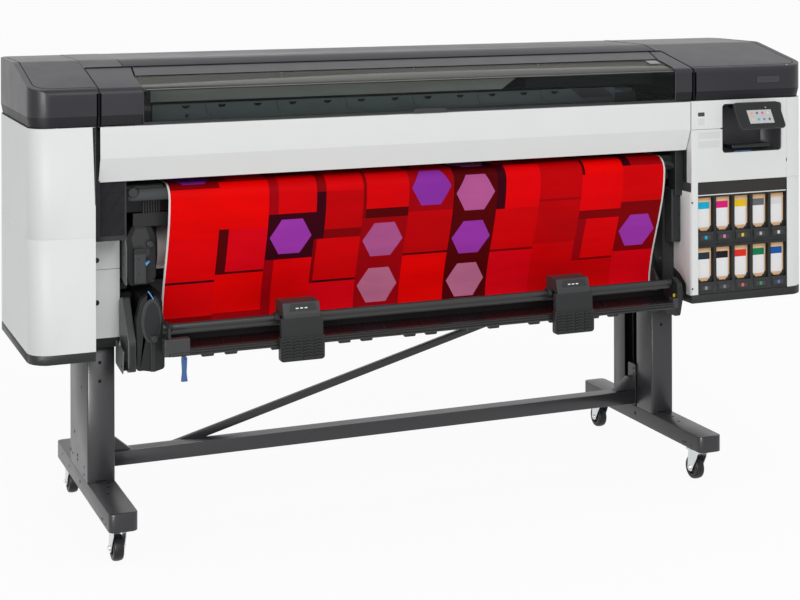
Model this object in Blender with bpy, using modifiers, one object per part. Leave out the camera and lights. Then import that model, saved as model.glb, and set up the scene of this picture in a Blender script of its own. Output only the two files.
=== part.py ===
"""Wide-format roll printer with a built-in cutter, on a two-column wheeled stand.

Metres, +Z up, front towards -Y. The origin is on the floor under the middle of the machine.
Every sub-part is one closed solid in its own object, and moving pieces have their origin on
their joint's axis.
"""

import math

import bmesh
import bpy
from mathutils import Matrix

# ---------------------------------------------------------------- driving dimensions
WIDTH = 2.600               # across both cabinets
BODY_DEPTH = 0.600          # front cover to rear cover
BODY_FRONT = -0.277         # front plane, measured from the middle of the feet
STAND_HEIGHT = 0.565        # floor to the underside of the body
BODY_HEIGHT = 0.835         # underside of the body to its highest edge

GAP = 0.0003                # between pieces that rest on each other
RUNNING_GAP = 0.0005        # between pieces that slide past each other
WALL = 0.003                # moulded cover thickness
CORNER_RADIUS = 0.060       # front corner of the left cabinet
REAR_CORNER_RADIUS = 0.090  # rear corners of both cabinets
PILLAR_RADIUS = 0.068       # front corner of the right cabinet

LEFT_CABINET = 0.184        # width of the left cabinet's front
RIGHT_CABINET = 0.453       # width of the right cabinet's front
TRIM_HEIGHT = 0.0272        # dark base trim under the white covers
COVER_SPLIT = 0.352         # underside of the body to the seam of the left covers
CAP_HEIGHT = 0.171          # dark end caps, at the rear
TOP_FALL = 0.065            # how far the top falls from its crest to the front
CREST_DEPTH = 0.290         # front plane to the crest, behind which the top is level
CREST_RADIUS = 0.120
CAP_EDGE_RADIUS = 0.022
CAP_WALL = 0.0035
CAP_GAP = 0.003             # between the end caps and the lid
REAR_EDGE_RADIUS = 0.030    # where the top meets the rear

LID_DEPTH = 0.207
LID_WALL = 0.027
LID_LEFT_BLOCK = 0.126
LID_RIGHT_BLOCK = 0.068
LID_REAR_STRIP = 0.090
LID_INSET_LEFT = 0.012      # left cabinet's edge to the lid
LID_INSET_RIGHT = 0.008     # right cabinet's edge to the lid
LID_LIFT = 0.002            # lid above the caps' lower edge
LID_REAR_GAP = 0.0008       # lid to the rear cover
PANE_WALL = 0.005
PANE_INSET = 0.0015
PANE_LIFT = 0.006           # pane above the lid's lower edge
PANE_BEND = 0.014

HOOD_HEIGHT = 0.1605        # front hood, top to bottom
HOOD_CREASE = 0.0905        # upright part above the crease
HOOD_SET_BACK = 0.028
HOOD_DEPTH = 0.0497
HOOD_DROP = 0.0015          # hood under the caps' lower edge

ROLL_BAY_LEFT = 0.103       # left cabinet to the roll bay
INNER_SET_BACK = 0.155      # white inner panel behind the front plane
INNER_RETURN = 0.035
INNER_COVER_HEIGHT = 0.299
BAY_MARGIN_RIGHT = 0.004    # roll bay's right wall ahead of the right cabinet's edge

SIDE_FRAME = 0.080          # box frames at both ends of the scan beam
FRAME_SET_BACK = 0.050
FRAME_TOP_DROP = 0.014      # frame top under the caps' lower edge
SCAN_BEAM = ((0.300, 0.360), (0.129, 0.029))
PLATEN_BEAM = (0.100, 0.270)
CUTTER_RAIL = ((0.075, 0.085), (0.144, 0.129))
REAR_MEMBER = ((0.520, 0.580), (0.035, 0.115))

PLATEN_DROP = 0.184         # platen surface under the caps' lower edge
PLATEN_THICKNESS = 0.015
PLATEN_FRONT = 0.070
PLATEN_REAR = 0.2765
PLATEN_APRON = 0.045        # how far the platen's front reaches down
DRIVE_ROLLER_RADIUS = 0.013
DRIVE_ROLLER_BACK = 0.290
DRIVE_ROLLER_DROP = 0.011   # roller's axis under the platen's surface
CARRIAGE = (0.240, 0.010, 0.031)    # width, above the platen, top above the caps' lower edge
CARRIAGE_PARK = 0.390       # parked carriage's left side from the right end frame
CUTTER = (0.070, 0.024, 0.151, 0.119)   # width, depth, low and high under the caps' lower edge
CUTTER_PARK = 0.005

SHEET_THICKNESS = 0.001
SHEET_MARGIN_LEFT = 0.1165  # roll bay wall to the sheet's edge
SHEET_MARGIN_RIGHT = 0.0755
SHEET_LIFT = 0.0007         # sheet above the platen
SHEET_BULGE = 0.034         # foremost part of the sheet behind the front plane
SHEET_BEND = 0.046
FLANGE_MARGIN = 0.003       # sheet's edge to a spindle flange

CORE_RADIUS = 0.018
DRIVE_CLEARANCE = 0.0025    # spindle flange to the drive housings
DRIVE_WIDTH = 0.060
BRACKET_WIDTH = 0.043
BORE_DEPTH = 0.030
JOURNAL_RADIUS = 0.012
JOURNAL_LENGTH = 0.020
JOURNAL_CLEARANCE = 0.0004
FLANGE_THICKNESS = 0.009
SUPPLY_RADIUS = 0.070
SUPPLY_AXIS = (0.240, 0.389)    # back from the front plane, down from the caps' lower edge
SUPPLY_FLANGE = 0.085
TAKE_UP_AXIS = (0.165, 0.624)
TAKE_UP_CORE = 0.030
TAKE_UP_FLANGE = 0.073

BAY_HEIGHT = 0.395          # ink bay, from the underside of the body
BAY_DEPTH = 0.306
BAY_SET_BACK = 0.0035
CARTRIDGE = (0.058, 0.270, 0.111)
CARTRIDGE_PITCH = 0.071
CARTRIDGE_ROW_PITCH = 0.166
CARTRIDGE_RECESS = 0.016
CARTRIDGE_CLEARANCE = 0.001
CARTRIDGE_MARGIN = 0.0025   # post to the first cartridge
CARTRIDGE_EDGE = 0.002
LOWER_ROW = 0.066           # underside of the body to the lower row's floor
POST_WIDTH = 0.0245
PILLAR_WIDTH = 0.0805

POCKET = (0.119, 0.351, 0.014, 0.175)   # left, right from the cabinet's edge; down from the caps
POCKET_DEPTH = 0.072
PULL_BAR = (0.012, 0.026, 0.004, 0.016)  # low, high above the pocket's floor; front, back
PANEL_WIDTH = 0.178
PANEL_LENGTH = 0.103
PANEL_THICKNESS = 0.018
PANEL_TILT = math.radians(30)
PANEL_TOP = (0.030, 0.007)  # ahead of the front plane, below the caps' lower edge
PANEL_OFFSET = 0.012        # panel's middle left of the pocket's middle
PANEL_EDGE = 0.004
PANEL_ARM = (0.003, 0.024, 0.060)   # from and to along the panel's back, width

BRACKET_LIFT = 0.004        # roll bracket above the right column

FOOT_LENGTH = 0.780
FOOT_WIDTH = 0.082
FOOT_HEIGHT = 0.051
FOOT_CORNER = 0.018
FOOT_SOFTENING = 0.006
LEFT_FOOT = 0.238           # centre line from the body's left side
RIGHT_FOOT = 0.4535         # centre line from the body's right side
COLUMN_FRONT = -0.091
COLUMN_DEPTH = 0.262
COLUMN_WALL = 0.0025
COLUMN_BEND = 0.006
FRONT_LIP = 0.100
REAR_LIP = 0.080
BEAM_DEPTH = 0.050
BEAM_HEIGHT = 0.044
BEAM_LIFT = 0.010
BEAM_CLEARANCE = 0.0035     # column's front lip to the beam
GUSSET = (0.020, 0.075, 0.045, 0.010)   # top length, foot length, height, set in from the beam's sides
BRACE_DEPTH = 0.020
BRACE_HEIGHT = 0.022
BRACE_RISE = 0.25           # height gained per metre
BRACE_START = 0.070         # from the left column's open side
BRACE_DROP = 0.005          # brace's top under the body

CASTER_FRONT = -0.315
CASTER_REAR = 0.330
WHEEL_RADIUS = 0.0375
WHEEL_WIDTH = 0.030
TRAIL = 0.022
AXLE_RADIUS = 0.004
FORK_WALL = 0.003
FORK_CROWN = 0.035          # wheel's top to the foot
FORK_PLATE = 0.006          # swivel race
FORK_RACE_RADIUS = 0.030
FORK_REACH = (0.024, 0.030) # fork ahead of and behind its swivel axis
FORK_TIP = 0.011
WHEEL_GAP = 0.002           # wheel to the fork's cheeks
TYRE_SHOULDER = 0.005
PEDAL_LENGTH = 0.026
PEDAL_WIDTH = 0.026
PEDAL_NOSE = 0.004
PEDAL_DROP = 0.010          # pedal's hinge under the fork's plate

TABLE_BAR_RADIUS = 0.011
TABLE_BAR = (0.020, 0.073)      # back from the front plane, above the body's underside
TABLE_RAIL = (-0.020, 0.000, -0.005, 0.015)
TABLE_TRAY = (-0.002, 0.070, 0.013, 0.023)
TABLE_END_LEFT = 0.021
TABLE_END_RIGHT = 0.034
TABLE_END_DROP = 0.036      # the right end plate reaches this far under the body
PAD_WIDTH = 0.138
PAD_DEPTH = 0.0255
PAD_DROP = 0.046                # under the body's underside
PAD_TOP = 0.125
PAD_CENTRES = (0.788, 0.908)    # left pad from the left side, right pad from the right side
PAD_HOOK = 0.025            # pad behind the bar's axis
LEVER_RADIUS = 0.008
LEVER_LENGTH = 0.066
LEVER_THICKNESS = 0.010
LEVER_OFFSET = 0.027        # lever's axis from the left end plate

# ---------------------------------------------------------------- derived places
LEFT = -WIDTH / 2
RIGHT = WIDTH / 2
FRONT = BODY_FRONT
BACK = BODY_FRONT + BODY_DEPTH
TOP = STAND_HEIGHT + BODY_HEIGHT
CAP_BOTTOM = TOP - CAP_HEIGHT
FRONT_EDGE = TOP - TOP_FALL
COVER_BOTTOM = STAND_HEIGHT + TRIM_HEIGHT
LEFT_EDGE = LEFT + LEFT_CABINET
RIGHT_EDGE = RIGHT - RIGHT_CABINET
LID_LEFT = LEFT_EDGE + LID_INSET_LEFT
LID_RIGHT = RIGHT_EDGE + LID_INSET_RIGHT
BAY_LEFT = LEFT_EDGE + ROLL_BAY_LEFT
BAY_RIGHT = RIGHT_EDGE - BAY_MARGIN_RIGHT
FRAME_LEFT = BAY_LEFT - WALL - GAP
FRAME_RIGHT = RIGHT_EDGE + WALL
BAY_TOP = STAND_HEIGHT + BAY_HEIGHT
PILLAR_EDGE = RIGHT - PILLAR_WIDTH
PLATEN_TOP = CAP_BOTTOM - PLATEN_DROP
SHEET_LEFT = BAY_LEFT + SHEET_MARGIN_LEFT
SHEET_RIGHT = BAY_RIGHT - SHEET_MARGIN_RIGHT
FLANGE_LEFT = SHEET_LEFT - FLANGE_MARGIN
FLANGE_RIGHT = SHEET_RIGHT + FLANGE_MARGIN
DRIVE_FACE = FLANGE_LEFT - FLANGE_THICKNESS - DRIVE_CLEARANCE
BRACKET_FACE = BAY_RIGHT - BRACKET_WIDTH
PANEL_MIDDLE = RIGHT_EDGE + (POCKET[0] + POCKET[1]) / 2 - PANEL_OFFSET
CASTER_HEIGHT = 2 * WHEEL_RADIUS + FORK_CROWN
FOOT_TOP = CASTER_HEIGHT + FOOT_HEIGHT
BAY_WALL = BAY_RIGHT + WALL + GAP

FINISHES = {
    "white_plastic": ((0.78, 0.80, 0.80), 0.42, 0.0),
    "dark_plastic": ((0.075, 0.073, 0.082), 0.45, 0.0),
    "black_plastic": ((0.025, 0.026, 0.028), 0.50, 0.0),
    "stand_paint": ((0.055, 0.054, 0.060), 0.50, 0.3),
    "zinc": ((0.60, 0.60, 0.58), 0.32, 1.0),
    "wheel_rubber": ((0.020, 0.020, 0.021), 0.70, 0.0),
    "steel": ((0.45, 0.46, 0.47), 0.35, 1.0),
    "smoked_glass": ((0.20, 0.22, 0.21), 0.08, 0.0),
    "paper": ((0.62, 0.06, 0.07), 0.35, 0.0),
    "roll_paper": ((0.85, 0.85, 0.82), 0.60, 0.0),
    "blue_plastic": ((0.06, 0.20, 0.50), 0.40, 0.0),
    "carton": ((0.72, 0.46, 0.26), 0.75, 0.0),
    "screen_black": ((0.015, 0.016, 0.018), 0.20, 0.0),
}

for old_object in list(bpy.data.objects):
    bpy.data.objects.remove(old_object, do_unlink=True)

PARTS = bpy.data.collections.new("roll_printer")
CUTTERS = bpy.data.collections.new("cutters")
for new_collection in (PARTS, CUTTERS):
    bpy.context.scene.collection.children.link(new_collection)


# ---------------------------------------------------------------- small tools
def rounded(corners, steps=5):
    """Outline points for (a, b, radius) corners, with an arc at each rounded one."""
    points = []
    count = len(corners)
    for index, (a, b, radius) in enumerate(corners):
        if radius == 0:
            points.append((a, b))
            continue
        before = corners[index - 1]
        after = corners[(index + 1) % count]
        angle_in = math.atan2(before[1] - b, before[0] - a)
        angle_out = math.atan2(after[1] - b, after[0] - a)
        half = ((angle_out - angle_in + math.pi) % math.tau - math.pi) / 2
        reach = radius / math.tan(abs(half))
        middle = angle_in + half
        far = radius / math.sin(abs(half))
        centre = (a + far * math.cos(middle), b + far * math.sin(middle))
        start = (a + reach * math.cos(angle_in), b + reach * math.sin(angle_in))
        begin = math.atan2(start[1] - centre[1], start[0] - centre[0])
        sweep = (math.pi - 2 * abs(half)) * (-1 if half > 0 else 1)
        for step in range(steps + 1):
            turn = begin + sweep * step / steps
            points.append((centre[0] + radius * math.cos(turn), centre[1] + radius * math.sin(turn)))
    return points


def dress(piece, finish):
    """Give a piece a material of its own with the finish's colour, roughness and metal."""
    colour, roughness, metallic = FINISHES[finish]
    material = bpy.data.materials.new(piece.name + "_" + finish)
    material.use_nodes = True
    shader = material.node_tree.nodes["Principled BSDF"]
    shader.inputs["Base Color"].default_value = (*colour, 1.0)
    shader.inputs["Roughness"].default_value = roughness
    shader.inputs["Metallic"].default_value = metallic
    material.diffuse_color = (*colour, 1.0)
    piece.data.materials.clear()
    piece.data.materials.append(material)
    return piece


def keep(name, mesh, finish):
    """Put a mesh in the parts collection as a named sub-part, or among the cutters."""
    piece = bpy.data.objects.new(name, mesh)
    if finish is None:
        CUTTERS.objects.link(piece)
        piece.hide_render = True
        piece.display_type = "WIRE"
        return piece
    PARTS.objects.link(piece)
    return dress(piece, finish)


def box(name, low, high, finish=None, bevel=0.0):
    """A box between two corners, with its outer edges rounded when bevel is given."""
    shape = bmesh.new()
    size = [b - a for a, b in zip(low, high)]
    middle = [(a + b) / 2 for a, b in zip(low, high)]
    place = Matrix.Translation(middle) @ Matrix.Diagonal((*size, 1.0))
    bmesh.ops.create_cube(shape, size=1.0, matrix=place)
    if bevel:
        bmesh.ops.bevel(shape, geom=shape.edges[:], offset=bevel, segments=2, affect="EDGES", profile=0.5)
    mesh = bpy.data.meshes.new(name)
    shape.to_mesh(mesh)
    shape.free()
    return keep(name, mesh, finish)


# Columns of each matrix are the directions of the outline's two axes and of its thickness.
PLANES = {
    "x": Matrix(((0, 0, 1, 0), (1, 0, 0, 0), (0, 1, 0, 0), (0, 0, 0, 1))),
    "y": Matrix(((1, 0, 0, 0), (0, 0, -1, 0), (0, 1, 0, 0), (0, 0, 0, 1))),
    "z": Matrix.Identity(4),
}


def prism(name, axis, points, low, high, finish=None):
    """A flat outline filled on both sides and given thickness from low to high along an axis.

    The outline's points are (y, z) for axis x, (x, z) for axis y and (x, y) for axis z.
    """
    curve = bpy.data.curves.new(name, "CURVE")
    curve.dimensions = "2D"
    curve.fill_mode = "BOTH"
    curve.extrude = (high - low) / 2
    spline = curve.splines.new("POLY")
    spline.points.add(len(points) - 1)
    for point, (a, b) in zip(spline.points, points):
        point.co = (a, b, 0.0, 1.0)
    spline.use_cyclic_u = True
    drawn = bpy.data.objects.new(name + "_outline", curve)
    CUTTERS.objects.link(drawn)
    bpy.context.view_layer.update()
    evaluated = drawn.evaluated_get(bpy.context.evaluated_depsgraph_get())
    mesh = bpy.data.meshes.new_from_object(evaluated)
    bpy.data.objects.remove(drawn, do_unlink=True)
    bpy.data.curves.remove(curve)
    middle = (low + high) / 2
    shift = {"x": (middle, 0, 0), "y": (0, middle, 0), "z": (0, 0, middle)}[axis]
    shape = bmesh.new()
    shape.from_mesh(mesh)
    bmesh.ops.remove_doubles(shape, verts=shape.verts[:], dist=0.00001)
    bmesh.ops.transform(shape, matrix=Matrix.Translation(shift) @ PLANES[axis], verts=shape.verts[:])
    bmesh.ops.recalc_face_normals(shape, faces=shape.faces[:])
    shape.to_mesh(mesh)
    shape.free()
    mesh.name = name
    mesh.materials.clear()
    return keep(name, mesh, finish)


def rod(name, axis, centre, radius, low, high, finish=None, sides=24):
    """A round bar along an axis. The centre gives the two other coordinates in x, y, z order."""
    shape = bmesh.new()
    turn = {
        "x": Matrix.Rotation(math.pi / 2, 4, "Y"),
        "y": Matrix.Rotation(-math.pi / 2, 4, "X"),
        "z": Matrix.Identity(4),
    }[axis]
    middle = (low + high) / 2
    place = {
        "x": (middle, centre[0], centre[1]),
        "y": (centre[0], middle, centre[1]),
        "z": (centre[0], centre[1], middle),
    }[axis]
    bmesh.ops.create_cone(
        shape,
        cap_ends=True,
        segments=sides,
        radius1=radius,
        radius2=radius,
        depth=high - low,
        matrix=Matrix.Translation(place) @ turn,
    )
    mesh = bpy.data.meshes.new(name)
    shape.to_mesh(mesh)
    shape.free()
    mesh.shade_smooth()
    mesh.set_sharp_from_angle(angle=math.radians(35))
    return keep(name, mesh, finish)


def turned(name, centre, profile, finish, steps=32):
    """A turned piece on an axis along X. The profile lists (radius, x) from its +X end."""
    mesh = bpy.data.meshes.new(name)
    vertices = [(radius, 0.0, x) for radius, x in profile]
    edges = [(index, index + 1) for index in range(len(vertices) - 1)]
    if profile[0][0] > 0:
        edges.append((len(vertices) - 1, 0))
    mesh.from_pydata(vertices, edges, [])
    piece = keep(name, mesh, finish)
    screw = piece.modifiers.new("turn", "SCREW")
    screw.axis = "Z"
    screw.steps = steps
    screw.render_steps = steps
    screw.use_merge_vertices = True
    screw.merge_threshold = 0.00001
    piece.rotation_euler = (0.0, math.pi / 2, 0.0)
    piece.location = centre
    return piece


def boolean(piece, tool, operation):
    """Apply one exact Boolean between a piece and a hidden tool."""
    step = piece.modifiers.new(operation.lower(), "BOOLEAN")
    step.operation = operation
    step.solver = "EXACT"
    step.object = tool
    return piece


def fuse(piece, *tools):
    for tool in tools:
        boolean(piece, tool, "UNION")
    return piece


def cut(piece, *tools):
    for tool in tools:
        boolean(piece, tool, "DIFFERENCE")
    return piece


def several(name, boxes):
    """One hidden tool made of separate boxes."""
    shape = bmesh.new()
    for low, high in boxes:
        size = [b - a for a, b in zip(low, high)]
        middle = [(a + b) / 2 for a, b in zip(low, high)]
        place = Matrix.Translation(middle) @ Matrix.Diagonal((*size, 1.0))
        bmesh.ops.create_cube(shape, size=1.0, matrix=place)
    mesh = bpy.data.meshes.new(name)
    shape.to_mesh(mesh)
    shape.free()
    return keep(name, mesh, None)


def hang(piece, name, pivot):
    """Parent a piece to an empty on its joint's axis, without moving it."""
    empty = bpy.data.objects.new(name, None)
    empty.empty_display_size = 0.02
    empty.location = pivot
    PARTS.objects.link(empty)
    piece.parent = empty
    piece.matrix_parent_inverse = Matrix.Translation([-value for value in pivot])
    return empty


def top_height(back):
    """Height of the top at a distance behind the front plane: a slope, then level."""
    return FRONT_EDGE + min(back, CREST_DEPTH) * TOP_FALL / CREST_DEPTH


# ---------------------------------------------------------------- stand
def stand():
    for side, x, inward in (("left", LEFT + LEFT_FOOT, 1), ("right", RIGHT - RIGHT_FOOT, -1)):
        half = FOOT_WIDTH / 2
        ends = FOOT_LENGTH / 2
        foot_outline = rounded([
            (x - half, -ends, FOOT_CORNER),
            (x + half, -ends, FOOT_CORNER),
            (x + half, ends, FOOT_CORNER),
            (x - half, ends, FOOT_CORNER),
        ])
        foot = prism(side + "_foot", "z", foot_outline, CASTER_HEIGHT, FOOT_TOP, "stand_paint")
        softening = foot.modifiers.new("edges", "BEVEL")
        softening.width = FOOT_SOFTENING
        softening.segments = 2
        softening.angle_limit = math.radians(60)
        column(side, x, inward)
        for end, y in (("front", CASTER_FRONT), ("rear", CASTER_REAR)):
            caster(side + "_" + end, x, y)


def column(side, x, inward):
    """A lipped channel whose open side faces the middle of the machine."""
    web = x - inward * FOOT_WIDTH / 2
    mouth = x + inward * FOOT_WIDTH / 2
    y0 = COLUMN_FRONT
    y1 = COLUMN_FRONT + COLUMN_DEPTH
    t = COLUMN_WALL
    s = inward * t
    outer = COLUMN_BEND
    inner = COLUMN_BEND - COLUMN_WALL
    channel = rounded([
        (mouth, y0 + FRONT_LIP, 0),
        (mouth, y0, outer),
        (web, y0, outer),
        (web, y1, outer),
        (mouth, y1, outer),
        (mouth, y1 - REAR_LIP, 0),
        (mouth - s, y1 - REAR_LIP, 0),
        (mouth - s, y1 - t, inner),
        (web + s, y1 - t, inner),
        (web + s, y0 + t, inner),
        (mouth - s, y0 + t, inner),
        (mouth - s, y0 + FRONT_LIP, 0),
    ], steps=2)
    prism(side + "_column", "z", channel, FOOT_TOP + GAP, STAND_HEIGHT - GAP, "stand_paint")


def caster(place, x, y):
    """A swivel fork, its wheel and its brake pedal."""
    top = CASTER_HEIGHT - GAP
    crown = top - FORK_PLATE
    plate = crown - FORK_WALL
    axle = y + TRAIL
    front = y - FORK_REACH[0]
    rear = y + FORK_REACH[1]
    gap = WHEEL_WIDTH / 2 + WHEEL_GAP
    tip = WHEEL_RADIUS - FORK_TIP
    fork = rod("caster_fork_" + place, "z", (x, y), FORK_RACE_RADIUS, crown, top, "zinc", sides=20)
    crown_box = box(
        "crown_" + place,
        (x - gap - FORK_WALL, front, plate),
        (x + gap + FORK_WALL, rear, crown + 0.001),
    )
    cheek = rounded([
        (front, plate + 0.001, 0),
        (axle - FORK_TIP, tip, FORK_TIP - 0.001),
        (axle + FORK_TIP, tip, FORK_TIP - 0.001),
        (rear, plate + 0.001, 0),
    ], steps=3)
    cheeks = [
        prism("cheek_a_" + place, "x", cheek, x - gap - FORK_WALL, x - gap),
        prism("cheek_b_" + place, "x", cheek, x + gap, x + gap + FORK_WALL),
    ]
    pin = rod(
        "axle_" + place,
        "x",
        (axle, WHEEL_RADIUS),
        AXLE_RADIUS,
        x - gap - 0.001,
        x + gap + 0.001,
        sides=12,
    )
    fuse(fork, crown_box, *cheeks, pin)
    swivel = hang(fork, "swivel_" + place, (x, y, CASTER_HEIGHT))

    half = WHEEL_WIDTH / 2
    hub = AXLE_RADIUS + JOURNAL_CLEARANCE
    shoulder = TYRE_SHOULDER
    profile = [
        (hub, half),
        (WHEEL_RADIUS - shoulder, half),
        (WHEEL_RADIUS, half - shoulder),
        (WHEEL_RADIUS, shoulder - half),
        (WHEEL_RADIUS - shoulder, -half),
        (hub, -half),
    ]
    centre = (x, axle, WHEEL_RADIUS)
    wheel = turned("caster_wheel_" + place, centre, profile, "wheel_rubber", steps=28)
    wheel.parent = swivel
    wheel.matrix_parent_inverse = Matrix.Translation((-x, -y, -CASTER_HEIGHT))

    nose = PEDAL_NOSE
    hinge = (rear + GAP + nose, plate - PEDAL_DROP)
    head = [
        (hinge[0] + nose * math.cos(turn), hinge[1] + nose * math.sin(turn))
        for turn in (math.radians(90 + 30 * step) for step in range(7))
    ]
    end = hinge[0] + PEDAL_LENGTH - nose
    tail = [(end, hinge[1] - nose - 0.002), (end, hinge[1] + 0.001)]
    half = PEDAL_WIDTH / 2
    pedal = prism("caster_brake_" + place, "x", head + tail, x - half, x + half, "black_plastic")
    pivot = hang(pedal, "brake_pivot_" + place, (x, hinge[0], hinge[1]))
    pivot.parent = swivel
    pivot.matrix_parent_inverse = Matrix.Translation((-x, -y, -CASTER_HEIGHT))
    ear_outline = [
        (rear - 0.008, plate + 0.001),
        (rear, plate + 0.001),
        (rear, hinge[1] - 0.005),
        (rear - 0.008, hinge[1] - 0.005),
    ]
    ear = prism("brake_ear_" + place, "x", ear_outline, x - half - 0.001, x + half + 0.001)
    fuse(fork, ear)


def cross_members():
    left_web = LEFT + LEFT_FOOT - FOOT_WIDTH / 2 + COLUMN_WALL + GAP
    right_web = RIGHT - RIGHT_FOOT + FOOT_WIDTH / 2 - COLUMN_WALL - GAP
    left_mouth = LEFT + LEFT_FOOT + FOOT_WIDTH / 2
    right_mouth = RIGHT - RIGHT_FOOT - FOOT_WIDTH / 2
    y0 = COLUMN_FRONT + FRONT_LIP + BEAM_CLEARANCE
    y1 = y0 + BEAM_DEPTH
    low = FOOT_TOP + BEAM_LIFT
    high = low + BEAM_HEIGHT
    beam = box("cross_beam", (left_web, y0, low), (right_web, y1, high), "stand_paint")
    top_length, foot_length, flare, inset = GUSSET
    left_gusset = prism(
        "left_gusset",
        "y",
        [(left_mouth + 0.002, high - 0.001), (left_mouth + foot_length, high - 0.001),
         (left_mouth + top_length, high + flare), (left_mouth + 0.002, high + flare)],
        y0 + inset,
        y1 - inset,
    )
    right_gusset = prism(
        "right_gusset",
        "y",
        [(right_mouth - 0.002, high - 0.001), (right_mouth - 0.002, high + flare),
         (right_mouth - top_length, high + flare), (right_mouth - foot_length, high - 0.001)],
        y0 + inset,
        y1 - inset,
    )
    fuse(beam, left_gusset, right_gusset)

    tie_top = STAND_HEIGHT - BRACE_DROP
    start = left_mouth + BRACE_START
    rise = tie_top - BRACE_HEIGHT - low
    end = start + rise / BRACE_RISE
    prism(
        "diagonal_brace",
        "y",
        [(start, low), (start + BRACE_HEIGHT / BRACE_RISE, low), (end, tie_top - BRACE_HEIGHT),
         (right_web, tie_top - BRACE_HEIGHT), (right_web, tie_top), (end, tie_top)],
        y1 + GAP,
        y1 + GAP + BRACE_DEPTH,
        "stand_paint",
    )


# ---------------------------------------------------------------- body frame and covers
def chassis():
    """Two end frames joined by the scan beam, the platen beam, the cutter rail and a rear member."""
    top = CAP_BOTTOM - FRAME_TOP_DROP
    back = BACK - WALL - GAP
    low = COVER_BOTTOM + GAP
    inner_top = STAND_HEIGHT + TRIM_HEIGHT + INNER_COVER_HEIGHT + 0.003
    into_left = FRAME_LEFT - 0.030
    into_right = FRAME_RIGHT + 0.030
    left_box = (LEFT_EDGE + 0.004, FRAME_LEFT)
    right_box = (FRAME_RIGHT, FRAME_RIGHT + SIDE_FRAME)
    frame = box(
        "chassis",
        (left_box[0], FRONT + INNER_SET_BACK + WALL + GAP, low),
        (left_box[1], back, top),
        "black_plastic",
    )
    (beam_y0, beam_y1), (beam_low, beam_high) = SCAN_BEAM
    (rail_y0, rail_y1), (rail_low, rail_high) = CUTTER_RAIL
    (rear_y0, rear_y1), (rear_low, rear_high) = REAR_MEMBER
    tools = [
        box("left_head", (left_box[0], FRONT + FRAME_SET_BACK, inner_top), (left_box[1], back - 0.05, top)),
        box("right_head", (right_box[0], FRONT + FRAME_SET_BACK, BAY_TOP + GAP), (right_box[1], back, top)),
        box(
            "right_leg",
            (right_box[0], FRONT + BAY_SET_BACK + BAY_DEPTH + 0.005, low),
            (right_box[1], back, top - 0.05),
        ),
        box(
            "scan_beam",
            (into_left, FRONT + beam_y0, CAP_BOTTOM - beam_low),
            (into_right, FRONT + beam_y1, CAP_BOTTOM - beam_high),
        ),
        box(
            "platen_beam",
            (into_left, FRONT + PLATEN_BEAM[0], BAY_TOP + 0.005),
            (into_right, FRONT + PLATEN_BEAM[1], PLATEN_TOP - PLATEN_THICKNESS - GAP),
        ),
        box(
            "cutter_rail",
            (into_left, FRONT + rail_y0, CAP_BOTTOM - rail_low),
            (into_right, FRONT + rail_y1, CAP_BOTTOM - rail_high),
        ),
        box(
            "rear_member",
            (into_left, FRONT + rear_y0, STAND_HEIGHT + rear_low),
            (into_right, FRONT + rear_y1, STAND_HEIGHT + rear_high),
        ),
    ]
    fuse(frame, *tools)


def wall_outline(open_front, open_back, outer, front_radius):
    """Plan of a cabinet's wrap-round wall, open towards the machine's middle."""
    side = 1 if outer > open_front else -1
    inner = outer - side * WALL
    return rounded([
        (open_front, FRONT, 0),
        (outer, FRONT, front_radius),
        (outer, BACK, REAR_CORNER_RADIUS),
        (open_back, BACK, 0),
        (open_back, BACK - WALL, 0),
        (inner, BACK - WALL, REAR_CORNER_RADIUS - WALL),
        (inner, FRONT + WALL, front_radius - WALL),
        (open_front, FRONT + WALL, 0),
    ])


def cabinets():
    split = STAND_HEIGHT + COVER_SPLIT
    low = COVER_BOTTOM + GAP
    high = CAP_BOTTOM - GAP
    wall = wall_outline(LEFT_EDGE, LEFT_EDGE, LEFT, CORNER_RADIUS)
    prism("left_cover_lower", "z", wall, low, split - GAP, "white_plastic")
    prism("left_cover_upper", "z", wall, split, high, "white_plastic")

    set_back = FRONT + INNER_SET_BACK
    left_plan = rounded([
        (LEFT, FRONT, CORNER_RADIUS),
        (LEFT_EDGE, FRONT, 0),
        (LEFT_EDGE, set_back, 0),
        (BAY_LEFT, set_back, 0),
        (BAY_LEFT, BACK, 0),
        (LEFT, BACK, REAR_CORNER_RADIUS),
    ])
    prism("left_base", "z", left_plan, STAND_HEIGHT, COVER_BOTTOM, "dark_plastic")
    right_plan = rounded([
        (RIGHT_EDGE, FRONT, 0),
        (RIGHT, FRONT, PILLAR_RADIUS),
        (RIGHT, BACK, REAR_CORNER_RADIUS),
        (RIGHT_EDGE, BACK, 0),
    ])
    prism("right_base", "z", right_plan, STAND_HEIGHT, COVER_BOTTOM, "dark_plastic")

    inner_plan = [
        (LEFT_EDGE + 0.001, set_back),
        (BAY_LEFT, set_back),
        (BAY_LEFT, set_back + INNER_RETURN),
        (BAY_LEFT - WALL, set_back + INNER_RETURN),
        (BAY_LEFT - WALL, set_back + WALL),
        (LEFT_EDGE + 0.001, set_back + WALL),
    ]
    prism("left_inner_cover", "z", inner_plan, low, low + INNER_COVER_HEIGHT, "white_plastic")

    side_wall = wall_outline(PILLAR_EDGE, LID_RIGHT + 2 * CAP_GAP, RIGHT, PILLAR_RADIUS)
    prism("right_side_cover", "z", side_wall, low, high, "white_plastic")
    right_front_cover(low, high)
    right_inner_cover(low)


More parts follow.
